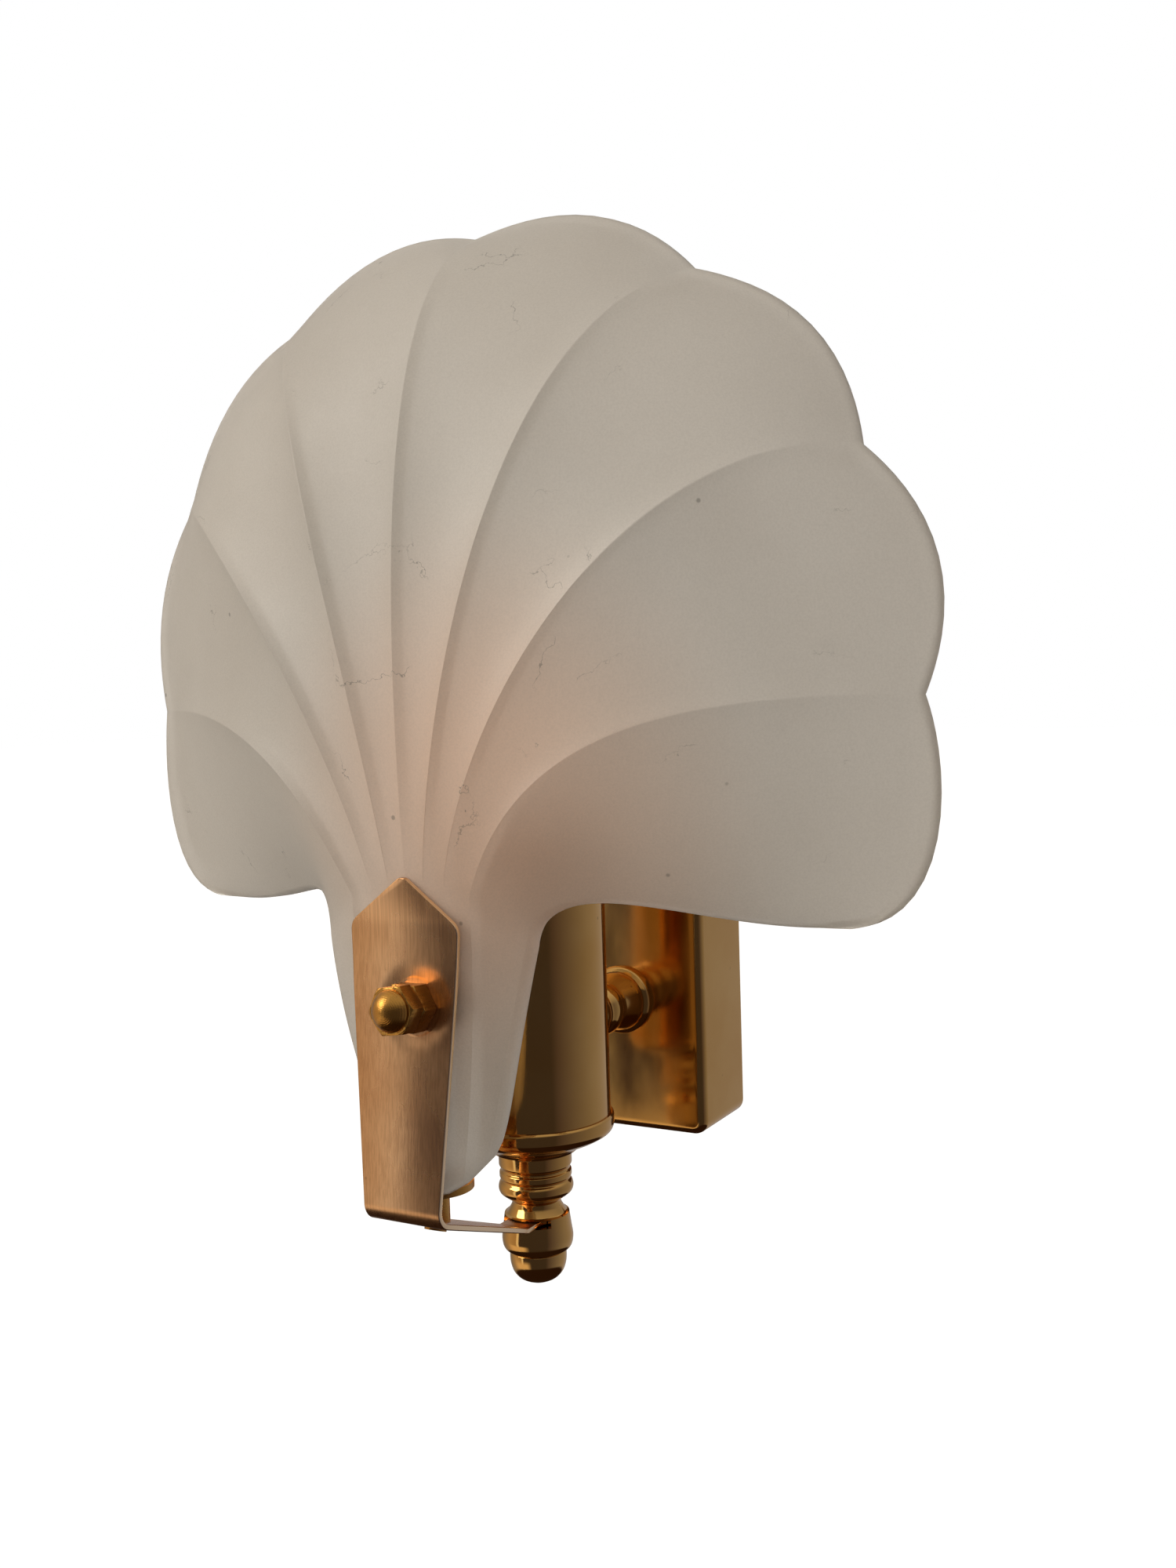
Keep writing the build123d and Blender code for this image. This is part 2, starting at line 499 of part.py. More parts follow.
core = disc(CORE_RADIUS, core_low, core_top)
core -= disc(1.45, core_low - 1, core_top + 1) + disc(3.0, well_floor, core_top + 1)
for x in (-HOLDER_SCREW_X, HOLDER_SCREW_X):
    core -= Pos(x, 0, core_low) * disc(1.25, -1, 5)
write("holder_core", core)

sleeve = disc(SOCKET_RADIUS, sleeve_low, SOCKET_BASE + SOCKET_HEIGHT, SCREW_SHELL_RADIUS + 0.9)
sleeve -= disc(CORE_RADIUS + REST_GAP, SOCKET_BASE, core_top + REST_GAP)
sleeve -= disc(9.3, core_top, core_top + 12)
write("holder_sleeve", sleeve)

write("screw_shell", disc(SCREW_SHELL_RADIUS + 0.5, core_top, core_top + SCREW_SHELL_LENGTH,
                          SCREW_SHELL_RADIUS))
contact = disc(2.4, well_floor, well_floor + 0.8) + disc(1.4, core_low + REST_GAP, well_floor)
write("centre_contact", contact + disc(1.6, well_floor + 0.8, well_floor + 1.8))
tongue = disc(8.6, core_top, core_top + 10, SCREW_SHELL_RADIUS + 0.5 + THREAD_GAP)
write("side_contact", tongue & Pos(-8, 0, core_top) * Box(4, 5, 10, align=UP))
holder_screw = slotted_screw(2.0, 1.5, 1.2, 4)
write("holder_screws", *[Pos(x, 0, core_low) * Rot(180, 0, 0) * holder_screw
                         for x in (-HOLDER_SCREW_X, HOLDER_SCREW_X)])
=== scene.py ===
"""Looks for the shell wall sconce: frosted glass palmette, brushed strip, polished brass."""

import math

import bmesh
import bpy
from mathutils import Matrix, Vector


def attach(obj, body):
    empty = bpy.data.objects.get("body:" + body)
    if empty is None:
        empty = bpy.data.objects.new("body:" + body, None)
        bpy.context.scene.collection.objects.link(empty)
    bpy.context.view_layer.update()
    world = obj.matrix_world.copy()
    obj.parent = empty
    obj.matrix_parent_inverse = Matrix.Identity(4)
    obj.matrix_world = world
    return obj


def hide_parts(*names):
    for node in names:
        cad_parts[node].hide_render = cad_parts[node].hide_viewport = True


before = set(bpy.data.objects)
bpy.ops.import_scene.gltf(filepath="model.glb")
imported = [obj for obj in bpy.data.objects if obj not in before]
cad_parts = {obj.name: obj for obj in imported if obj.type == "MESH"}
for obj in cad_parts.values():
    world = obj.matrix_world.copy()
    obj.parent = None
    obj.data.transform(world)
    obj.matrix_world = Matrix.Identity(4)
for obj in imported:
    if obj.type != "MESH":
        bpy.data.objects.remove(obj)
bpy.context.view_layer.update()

# ---- sizes, in millimetres in the lamp frame (tube axis, top of the collar) -----------
MM = 0.001
REACH = 73.5
ARM_HEIGHT = 18.5
COVER_WIDTH, COVER_HEIGHT, COVER_DEPTH = 48.0, 71.0, 25.5
COVER_SHEET, COVER_CORNER, COVER_EDGE = 1.2, 4.0, 2.2
TUBE_RADIUS, TUBE_WALL, TUBE_TOP = 19.0, 1.0, 75.0
COLLAR_RADIUS, COLLAR_STEP, COLLAR_LOW = 19.8, 3.0, -9.0
PIPE_BORE, NIPPLE_BORE = 4.05, 5.05
SHEET = 1.3
STRIP_TOP, STRIP_SHOULDER, STRIP_KNEE = 65.0, 54.5, 50.0
STRIP_FRONT, STRIP_LEAN = -51.0, 0.085
STRIP_HALF_WIDE, STRIP_HALF_LOW, STRIP_SPLIT = 14.0, 9.9, -6.0
TAB_LOW, TAB_HALF, EYE_RADIUS, LEG_SLOPE = -26.4, 4.2, 6.2, 0.38
STUD_X, STUD_HEIGHT, STUD_RADIUS = 3.2, 37.2, 3.0
HEX_FLATS, HEX_HEIGHT, ACORN_HEIGHT = 10.0, 4.8, 7.4
GLASS_DEPTH = 4.2
LEG_NARROWS, LEG_NARROW = -52.0, -13.0    # Y between which the leg tapers to the tab
BEND_RADIUS = 4.5
POST_Y, POST_RADIUS = -42.6, 1.55         # the rest disc's post, which stands on the leg
NUT_BORE = STUD_RADIUS + 0.05
SCREW_OUT, SCREW_RADIUS = 9.0, 2.2        # the cover screws' holes, out from the wall
ROOM_RADIUS, FLOOR_HEIGHT = 1.8, -2.0     # in metres
ROW = Vector((0, -REACH, -ARM_HEIGHT)) * MM


def place(x, y, z):
    """A lamp frame point in millimetres as a row frame point in metres."""
    return Vector((x, y, z)) * MM + ROW


UPRIGHT = Matrix.Translation(ROW)
# The arm runs from the tube to the wall: +Z of a turned piece becomes +Y.
ARM = Matrix.Translation(place(0, 0, ARM_HEIGHT)) @ Matrix.Rotation(math.radians(-90), 4, "X")
# The stud and its nuts stand square on the leaning strip: +Z of a nut points to the front.
stud_y = STRIP_FRONT - STRIP_LEAN * (STRIP_KNEE - STUD_HEIGHT)
stack_turn = math.radians(90) - math.atan(STRIP_LEAN)
STACK = (Matrix.Translation(place(STUD_X, stud_y, STUD_HEIGHT))
         @ Matrix.Rotation(stack_turn, 4, "X"))


# ---- materials ------------------------------------------------------------------------
def linear(hex_colour):
    """An sRGB hex colour as linear RGBA."""
    parts = [int(hex_colour[i:i + 2], 16) / 255 for i in (1, 3, 5)]
    return [c / 12.92 if c <= 0.04045 else ((c + 0.055) / 1.055) ** 2.4 for c in parts] + [1]


def new_material(name, **values):
    """A material with its Principled shader's own sockets set."""
    material = bpy.data.materials.new(name)
    material.use_nodes = True
    shader = material.node_tree.nodes["Principled BSDF"]
    for socket, value in values.items():
        shader.inputs[socket.replace("_", " ")].default_value = value
    return material, material.node_tree, shader


def add(tree, kind, links=None, **settings):
    """Add a node: settings are its properties or sockets, links its inputs from other nodes."""
    node = tree.nodes.new("ShaderNode" + kind)
    for key, value in settings.items():
        if hasattr(node, key):
            setattr(node, key, value)
        else:
            node.inputs[key.replace("_", " ")].default_value = value
    for socket, source in (links or {}).items():
        tree.links.new(source, node.inputs[socket])
    return node


def object_coordinates(tree, stretch=(1, 1, 1), seat=None):
    """Object coordinates in millimetres, stretched along each axis, from a seat if given."""
    source = add(tree, "TexCoord").outputs["Object"]
    if seat:
        source = add(tree, "Mapping", {"Vector": source}, vector_type="TEXTURE",
                     Location=seat.translation, Rotation=seat.to_euler()).outputs["Vector"]
    scale = [s / MM for s in stretch]
    return add(tree, "Mapping", {"Vector": source}, Scale=scale).outputs["Vector"]


def noise(tree, vector, size_mm, detail=3.0, roughness=0.5):
    """Noise whose lumps are about that many millimetres across."""
    return add(tree, "TexNoise", {"Vector": vector}, Scale=1 / size_mm, Detail=detail,
               Roughness=roughness).outputs["Fac"]


def ramp(tree, factor, *stops):
    """A colour ramp through (position, hex colour) stops."""
    node = add(tree, "ValToRGB", {"Fac": factor})
    elements = node.color_ramp.elements
    while len(elements) < len(stops):
        elements.new(0.5)
    for element, (position, colour) in zip(elements, stops):
        element.position = position
        element.color = linear(colour)
    return node.outputs["Color"]


def levels(tree, value, low, high, to_low=0.0, to_high=1.0):
    """A value's range low..high mapped to another range."""
    return add(tree, "MapRange", {"Value": value}, From_Min=low, From_Max=high, To_Min=to_low,
               To_Max=to_high).outputs["Result"]


def combined(tree, operation, a, b):
    """Two values put together by a Math operation."""
    return add(tree, "Math", {0: a, 1: b}, operation=operation).outputs[0]


def mixed(tree, factor, a, b, blend_type="MIX"):
    """Colour a mixed with colour b by a factor, each a socket or a value."""
    node = add(tree, "Mix", data_type="RGBA", blend_type=blend_type)
    for index, value in ((0, factor), (6, a), (7, b)):
        if hasattr(value, "links"):
            tree.links.new(value, node.inputs[index])
        else:
            node.inputs[index].default_value = value
    return node.outputs[2]


def bump(tree, height, distance_mm, strength=1.0, below=None):
    """A normal raised by a height, on top of another normal if given."""
    node = add(tree, "Bump", {"Height": height}, Strength=strength, Distance=distance_mm * MM)
    if below:
        tree.links.new(below, node.inputs["Normal"])
    return node.outputs["Normal"]


def frosted_glass():
    """Pressed glass, acid etched: pale warm grey and satin, cloudy right through.

    The etch is a grit of about 0.4 mm here, coarser than the real one so that it shows.
    The throat of the shell carries a painted warm glow, standing in for the brass behind seen
    through the glass. Dark hairlines 0.2 mm wide lie in a few patches, with specks of dirt 1 mm
    across."""
    material, tree, shader = new_material("etched_glass", IOR=1.5, Transmission_Weight=0.5)
    where = object_coordinates(tree)
    base = ramp(tree, noise(tree, where, 55, 3.0), (0.3, "#CCC4B9"), (0.7, "#D5CEC4"))
    # The painted warm glow of the brass behind: its middle lies 18 mm to the right of the arm's
    # axis and 61 mm above it.
    throat = add(tree, "Mapping", {"Vector": where}, Location=(-18, 0, -52), Scale=(1, 0, 0.85))
    away = add(tree, "VectorMath", {0: throat.outputs["Vector"]}, operation="LENGTH")
    glow = add(tree, "MapRange", {"Value": away.outputs["Value"]},
               interpolation_type="SMOOTHSTEP", From_Min=6.0, From_Max=62.0, To_Min=0.55,
               To_Max=0.0).outputs["Result"]
    # Painted glow: the brass seen through the glass, mixed into the glass colour.
    base = mixed(tree, glow, base, linear("#E3B693"))
    grit = noise(tree, where, 0.45, 2.0)
    base = mixed(tree, levels(tree, grit, 0.35, 0.75, 0.0, 0.16), base, linear("#8F877B"))
    wander = add(tree, "TexNoise", {"Vector": where}, Scale=0.4, Detail=4.0).outputs["Color"]
    wander = add(tree, "Mapping", {"Vector": wander}, Scale=(6, 6, 6)).outputs["Vector"]
    lines = add(tree, "VectorMath", {0: where, 1: wander}, operation="ADD").outputs[0]
    cells = add(tree, "TexVoronoi", {"Vector": lines}, feature="DISTANCE_TO_EDGE", Scale=0.045)
    hairline = levels(tree, cells.outputs["Distance"], 0.002, 0.0055, 1.0, 0.0)
    patch = levels(tree, noise(tree, where, 19, 2.0), 0.62, 0.68)
    scratch = combined(tree, "MULTIPLY", hairline, patch)
    spots = add(tree, "TexVoronoi", {"Vector": where}, Scale=0.11)
    speck = levels(tree, spots.outputs["Distance"], 0.04, 0.07, 1.0, 0.0)
    chosen = levels(tree, noise(tree, where, 16, 0.0), 0.60, 0.62)
    speck = combined(tree, "MULTIPLY", speck, chosen)
    wear = combined(tree, "MAXIMUM", scratch, speck)
    base = mixed(tree, levels(tree, wear, 0, 1, 0, 0.6), base, linear("#4F493F"))
    tree.links.new(base, shader.inputs["Base Color"])
    rough = levels(tree, noise(tree, where, 20, 3.0), 0.3, 0.7, 0.46, 0.56)
    tree.links.new(rough, shader.inputs["Roughness"])
    tree.links.new(bump(tree, grit, 0.06, 0.6), shader.inputs["Normal"])
    return material


def brass(name, colours, roughness, spots=0.35):
    """Lacquered brass: warm, with faint smears in its gloss and tarnish spots 0.6 mm across."""
    material, tree, shader = new_material(name, Metallic=1.0)
    where = object_coordinates(tree)
    base = ramp(tree, noise(tree, where, 17), (0.3, colours[0]), (0.7, colours[1]))
    dots = add(tree, "TexVoronoi", {"Vector": where}, Scale=0.22)
    dot = levels(tree, dots.outputs["Distance"], 0.05, 0.09, 1.0, 0.0)
    chance = levels(tree, noise(tree, where, 11, 0.0), 0.56, 0.60)
    dot = combined(tree, "MULTIPLY", dot, chance)
    base = mixed(tree, levels(tree, dot, 0, 1, 0, spots), base, linear("#4A2E17"))
    tree.links.new(base, shader.inputs["Base Color"])
    smear = noise(tree, object_coordinates(tree, (1, 1, 0.35)), 8, 4.0)
    rough = levels(tree, smear, 0.35, 0.75, *roughness)
    tree.links.new(rough, shader.inputs["Roughness"])
    return material, tree, shader


def brushed_brass():
    """Strip brass brushed along its length in lines of about 0.4 mm, pulled in a little by
    the nut: a ring printed round it, and a shallow dish 11 mm in radius."""
    material, tree, shader = brass("brushed_brass", ("#DDA877", "#EAB988"), (0.25, 0.34), 0.25)
    lines = noise(tree, object_coordinates(tree, (2.5, 2.5, 0.05)), 1.0, 3.0, 0.7)
    plain_base = shader.inputs["Base Color"].links[0].from_socket
    streaked = mixed(tree, levels(tree, lines, 0.40, 0.62, 0.0, 0.35), plain_base,
                     linear("#A6764E"))
    tree.links.new(streaked, shader.inputs["Base Color"])
    normal = bump(tree, lines, 0.02, 0.5)
    from_stud = object_coordinates(tree, (1, 1, 0), STACK)
    away = add(tree, "VectorMath", {0: from_stud}, operation="LENGTH").outputs["Value"]
    dish = add(tree, "MapRange", {"Value": away}, interpolation_type="SMOOTHERSTEP",
               From_Min=4.0, From_Max=11.0).outputs["Result"]
    normal = bump(tree, dish, 0.55, 1.0, normal)
    print_ring = add(tree, "MapRange", {"Value": away}, interpolation_type="SMOOTHSTEP",
                     From_Min=6.0, From_Max=6.6).outputs["Result"]
    normal = bump(tree, print_ring, 0.05, 1.0, normal)
    tree.links.new(normal, shader.inputs["Normal"])
    # The sheared sides of the strip get a painted highlight: a paler colour, with a lower roughness
    # as of rubbed brass.
    facing = add(tree, "SeparateXYZ", {"Vector": add(tree, "NewGeometry").outputs["Normal"]})
    sideways = add(tree, "Math", {0: facing.outputs["X"]}, operation="ABSOLUTE").outputs[0]
    edge = levels(tree, sideways, 0.35, 0.65)
    for socket, painted_highlight_and_gloss in (("Base Color", linear("#FFDDB0")), ("Roughness", (0.16,) * 3 + (1,))):
        plain_link = shader.inputs[socket].links[0].from_socket
        tree.links.new(mixed(tree, edge, plain_link, painted_highlight_and_gloss), shader.inputs[socket])
    return material


def turned_brass(name, seat):
    """Brass turned on a lathe and left as cut: rings 0.35 mm apart, in grainy bar stock."""
    material, tree, shader = brass(name, ("#C48C40", "#D49F52"), (0.22, 0.34))
    where = object_coordinates(tree, seat=seat)
    rings = add(tree, "TexWave", {"Vector": where}, wave_type="RINGS", rings_direction="Z",
                Scale=0.9, Distortion=0.6, Detail=1.0).outputs["Fac"]
    grain = noise(tree, where, 0.5, 2.0)
    normal = bump(tree, grain, 0.06, 0.6, bump(tree, rings, 0.03, 0.6))
    tree.links.new(normal, shader.inputs["Normal"])
    return material


def plain(name, colours, roughness, metallic=0.0):
    """A plain finish whose tone and gloss vary over 3 mm, with a grain of 0.3 mm."""
    material, tree, shader = new_material(name, Metallic=metallic)
    where = object_coordinates(tree)
    tone = noise(tree, where, 3.3, 4.0)
    tree.links.new(ramp(tree, tone, (0.3, colours[0]), (0.7, colours[1])),
                   shader.inputs["Base Color"])
    tree.links.new(levels(tree, tone, 0.3, 0.7, *roughness), shader.inputs["Roughness"])
    tree.links.new(bump(tree, noise(tree, where, 0.33), 0.02), shader.inputs["Normal"])
    return material


GLASS = frosted_glass()
STRIP_BRASS = brushed_brass()
# Polished tube and castings mirror the room; the pressed cover's sides are a little satin.
BRASS = brass("polished_brass", ("#D9A55A", "#E0B068"), (0.06, 0.13))[0]
COVER_BRASS = brass("pressed_brass", ("#D9A55A", "#E0B068"), (0.10, 0.20))[0]
NUT_BRASS = turned_brass("turned_brass", STACK)
# Zinc plate on steel, phenolic and urea mouldings, and vulcanised fibre: none of them shows
# from the front.
STEEL = plain("zinc_steel", ("#A9AAA6", "#BDBDB8"), (0.30, 0.45), 1.0)
BLACK = plain("holder_plastic", ("#1C1B19", "#24221F"), (0.40, 0.55))
WHITE = plain("block_plastic", ("#D9D7CE", "#E2E0D8"), (0.45, 0.60))
FIBRE = plain("red_fibre", ("#6E2F22", "#7C3A2B"), (0.60, 0.75))


# ---- mesh helpers ---------------------------------------------------------------------
def deselect():
    """Leave edit mode and select nothing."""
    if bpy.context.object and bpy.context.object.mode != "OBJECT":
        bpy.ops.object.mode_set(mode="OBJECT")
    bpy.ops.object.select_all(action="DESELECT")


def select_only(piece):
    """Select one piece and make it the active one."""
    deselect()
    piece.select_set(True)
    bpy.context.view_layer.objects.active = piece


def edit_all(piece):
    """Open a piece in edit mode with all of it selected."""
    select_only(piece)
    bpy.ops.object.mode_set(mode="EDIT")
    bpy.ops.mesh.select_all(action="SELECT")


def face_outwards(piece):
    """Turn every face of a closed mesh outwards."""
    edit_all(piece)
    bpy.ops.mesh.normals_make_consistent(inside=False)
    bpy.ops.object.mode_set(mode="OBJECT")


def smooth(piece, angle=35):
    """Shade a piece smooth, but for edges that turn by more than that many degrees."""
    select_only(piece)
    bpy.ops.object.shade_smooth_by_angle(angle=math.radians(angle))


def apply_modifiers(piece):
    """Apply a piece's modifiers in their order."""
    select_only(piece)
    for modifier in list(piece.modifiers):
        bpy.ops.object.modifier_apply(modifier=modifier.name)


def cut(piece, *tools, operation="DIFFERENCE"):
    """Cut a piece with each tool in turn, and remove the tools."""
    for tool in tools:
        opening = piece.modifiers.new("cut", "BOOLEAN")
        opening.operation = operation
        opening.object = tool
        opening.solver = "EXACT"
        apply_modifiers(piece)
        bpy.data.objects.remove(tool)


def close_seams(piece):
    """Merge the doubled points and dissolve the slivers that cuts and bevels leave."""
    edit_all(piece)
    bpy.ops.mesh.remove_doubles(threshold=0.01 * MM)
    bpy.ops.mesh.dissolve_degenerate(threshold=0.005 * MM)
    bpy.ops.object.mode_set(mode="OBJECT")


def finish_piece(piece, nodes, body, material):
    """Give a piece its material and tie it to the CAD nodes it stands for."""
    piece.data.materials.clear()
    piece.data.materials.append(material)
    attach(piece, body)
    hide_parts(*nodes)


def mesh_piece(name, points, faces):
    """An object made from points and the faces between them."""
    mesh = bpy.data.meshes.new(name)
    mesh.from_pydata([tuple(p) for p in points], [], faces)
    mesh.update()
    piece = bpy.data.objects.new(name, mesh)
    bpy.context.scene.collection.objects.link(piece)
    return piece


AXIS = 0.01             # the radius in millimetres that stands for a point on the axis


def turned(name, profile, segments=128):
    """A turned piece about Z, drawn up from a circle by extruding and scaling its rim.

    The profile is a list of (radius, height) points in millimetres. It closes on itself
    where its last point is its first, and is capped where its radius is 0."""
    deselect()
    radius, height = profile[0]
    bpy.ops.mesh.primitive_circle_add(vertices=segments, radius=max(radius, AXIS) * MM,
                                      location=(0, 0, 0), fill_type="NOTHING")
    piece = bpy.context.object
    piece.name = name
    bpy.ops.object.mode_set(mode="EDIT")
    bpy.ops.transform.translate(value=(0, 0, height * MM))
    for new_radius, new_height in profile[1:]:
        rise = (new_height - height) * MM
        bpy.ops.mesh.extrude_edges_move(TRANSFORM_OT_translate={"value": (0, 0, rise)})
        grow = max(new_radius, AXIS) / max(radius, AXIS)
        bpy.ops.transform.resize(value=(grow, grow, 1), center_override=(0, 0, 0))
        radius, height = new_radius, new_height
    bpy.ops.mesh.select_all(action="SELECT")
    bpy.ops.mesh.remove_doubles(threshold=0.02 * MM)
    bpy.ops.mesh.normals_make_consistent(inside=False)
    bpy.ops.object.mode_set(mode="OBJECT")
    return piece


def arc_points(centre, radius, start, end, steps):
    """Points of (radius, height) on an arc, from start to end degrees."""
    angles = [math.radians(start + (end - start) * i / steps) for i in range(steps + 1)]
    return [(centre[0] + radius * math.cos(a), centre[1] + radius * math.sin(a)) for a in angles]


def rounded(points, radius, steps=4):
    """An open profile whose inner corners are rounded, as far as their sides allow."""
    path = [points[0]]
    for before, corner, after in zip(points, points[1:], points[2:]):
        a = Vector(before) - Vector(corner)
        b = Vector(after) - Vector(corner)
        reach = min(radius, 0.45 * a.length, 0.45 * b.length)
        if reach < 0.05:
            path.append(corner)
            continue
        start = Vector(corner) + a.normalized() * reach
        end = Vector(corner) + b.normalized() * reach
        for i in range(steps + 1):
            t = i / steps
            spot = start * (1 - t) ** 2 + Vector(corner) * 2 * t * (1 - t) + end * t ** 2
            path.append(tuple(spot))
    path.append(points[-1])
    return path


def settle(piece, matrix):
    """Move a finished mesh to its place in the row frame, and leave its object at the origin."""
    piece.data.transform(matrix)
    piece.matrix_world = Matrix.Identity(4)
    return piece


# ---- glass shell ----------------------------------------------------------------------
# The ridges and flutes of the shell: control points of the same curves as the CAD part.
STEM = [
    [(0.0, -52.0, -3.6), (0.0, -50.8, 18.0), (0.0, -48.7, 40.0), (0.0, -49.1, 62.0)],
    [(4.0, -51.6, -3.4), (4.7, -50.7, 18.0), (4.5, -48.7, 40.0), (4.5, -49.1, 62.0)],
    [(7.6, -50.2, -2.6), (9.6, -50.0, 18.0), (9.5, -48.6, 40.0), (9.5, -48.9, 62.0)],
    [(11.0, -47.4, -0.6), (14.2, -47.8, 18.0), (15.6, -47.2, 40.0), (15.5, -48.3, 60.0)],
    [(14.2, -42.5, 3.4), (17.8, -43.5, 14.0), (22.6, -45.0, 33.0), (26.0, -43.0, 50.0)],
]
RIM_Y = -11.5
FAN = [
    [STEM[0][3], (0.0, -51.4, 106.2), (0.0, -55.4, 191.5), (0.0, RIM_Y, 206.9)],
    [STEM[1][3], (8.4, -52.0, 103.1), (30.8, -56.8, 179.7), (54.6, RIM_Y, 192.2)],
    [STEM[2][3], (17.2, -52.4, 100.2), (56.8, -53.5, 153.8), (91.1, RIM_Y, 151.9)],
    [STEM[3][3], (31.4, -54.2, 98.9), (65.5, -38.6, 101.8), (103.1, RIM_Y, 100.5)],
    [STEM[4][3], (28.5, -41.0, 70.0), (56.0, -16.0, 50.5), (87.0, RIM_Y, 51.8)],
]
STILL = [[(0, 0, 0)] * 2] * 4
FLUTE = [
    [[(0, 0, 0)] * 2, [(0, 1.1, 0)] * 2, [(0, 2.9, 0)] * 2, [(2.9, 3.6, 11.2)] * 2],
    [[(0, 0, 0)] * 2, [(0, 1.1, 0)] * 2, [(0, 2.9, 0)] * 2, [(8.5, 3.6, 7.7)] * 2],
    [[(0, 0, 0)] * 2, [(0, 1.1, 0)] * 2, [(0, 2.9, 0)] * 2, [(11.2, 3.6, 2.7)] * 2],
    [[(0, 0, 0)] * 2, [(0, -1.6, 0)] * 2, [(0, -3.2, 0)] * 2, [(10.2, 2.4, 0), (15.0, 2.4, -14.0)]],
]
STEM_BACK = [(1.0, 0.0)] * 4
FAN_BACK = [(1.0, 0.0), (1.0, 0.0), (1.0, 0.6), (0.4, 0.9)]
FAN_MIDDLE = 95.0
RIDGE_RISE, RIDGE_SPREAD = 0.85, 2.8
LIP_RISE, LIP_SPREAD, FLUTE_LENGTH = 0.8, 2.2, 105.0    # the thickened lip along the rim
SLIM = 0.994            # leaves room for the rounded rim inside the CAD part's width


def back_curve(ridge, levels_back):
    """A ridge's curve on the back face: each point moved backwards, and inwards at the rim."""
    end_x, _, end_z = ridge[3]
    length = math.hypot(end_x, end_z - FAN_MIDDLE)
    points = []
    for (x, y, z), (backwards, inwards) in zip(ridge, levels_back):
        move = inwards * GLASS_DEPTH / length
        points.append((x - move * end_x, y + backwards * GLASS_DEPTH,
                       z - move * (end_z - FAN_MIDDLE)))
    return points


def bezier(points, t):
    """A point on the cubic curve of four control points."""
    a, b, c, d = (Vector(p) for p in points)
    s = 1 - t
    return a * s ** 3 + b * 3 * s * s * t + c * 3 * s * t * t + d * t ** 3


def across(a, b, moves):
    """Four control points from a to b, of which the two between are moved."""
    points = [a]
    for part, move in zip((1 / 3, 2 / 3), moves):
        points.append([p + part * (q - p) + m for p, q, m in zip(a, b, move)])
    return points + [b]


def flute_point(ridge_a, ridge_b, moves, u, v):
    """A point u across and v along the patch between two ridges."""
    rows = [bezier(across(a, b, m), u) for a, b, m in zip(ridge_a, ridge_b, moves)]
    return bezier(rows, v)


# Steps across a flute lie close together at both ends, where the ridges are, and the fan's
# rows lie close together along the rim.
ACROSS = [0.5 - 0.5 * math.cos(math.pi * i / 20) for i in range(21)]
STEM_ROWS = [i / 26 for i in range(27)]
FAN_ROWS = [i / 60 for i in range(1, 58)] + [0.958, 0.966, 0.974, 0.982, 0.990, 1.0]


def sharpen(row, amount):
    """Raise a crisp ridge, under a millimetre high, where two flutes of a row meet."""
    flute = len(ACROSS) - 1
    for ridge in range(0, 4 * flute, flute):
        crest = row[ridge].copy()
        for i in range(max(ridge - flute, 0), ridge + flute + 1):
            away = math.hypot(row[i].x - crest.x, row[i].z - crest.z)
            row[i].y -= RIDGE_RISE * amount * math.exp(-away / RIDGE_SPREAD)


def half_rows(ridge_back):
    """Rows of points over one half of one face, from the foot of the stem to the rim.

    Each row runs from the centre line to the outer edge of the half."""
    stem = [back_curve(r, STEM_BACK) for r in STEM] if ridge_back else STEM
    fan = [back_curve(r, FAN_BACK) for r in FAN] if ridge_back else FAN
    rows = []
    for ridges, moves, places in ((stem, [STILL] * 4, STEM_ROWS), (fan, FLUTE, FAN_ROWS)):
        for v in places:
            row = [flute_point(ridges[0], ridges[1], moves[0], 0, v)]
            for i in range(4):
                row += [flute_point(ridges[i], ridges[i + 1], moves[i], u, v) for u in ACROSS[1:]]
            rows.append(row)
            if ridges is fan and not ridge_back:
                sharpen(row, math.sin(math.pi * v) ** 0.5 if v < 1 else 0)
                for point in row:
                    point.y -= LIP_RISE * math.exp((v - 1) * FLUTE_LENGTH / LIP_SPREAD)
    return rows


def whole_rows(ridge_back):
    """The rows of one face, mirrored so that they run from its left edge to its right."""
    rows = []
    for half in half_rows(ridge_back):
        right = [Vector((p.x * SLIM, p.y, p.z)) for p in half]
        rows.append([Vector((-p.x, p.y, p.z)) for p in reversed(right[1:])] + right)
    return rows


def round_edge(front, back, steps=4):
    """Points between a front and a back edge point that bulge out into a rounded edge.

    Outwards is away from the inside of the glass, which the third point of each gives."""
    (a, a_inner), (b, b_inner) = front, back
    outwards = ((a - a_inner) + (b - b_inner)).normalized() * (a - b).length * 0.42
    points = []
    for i in range(1, steps):
        angle = math.pi * i / steps
        blend = 0.5 - 0.5 * math.cos(angle)
        points.append(a.lerp(b, blend) + outwards * math.sin(angle))
    return points


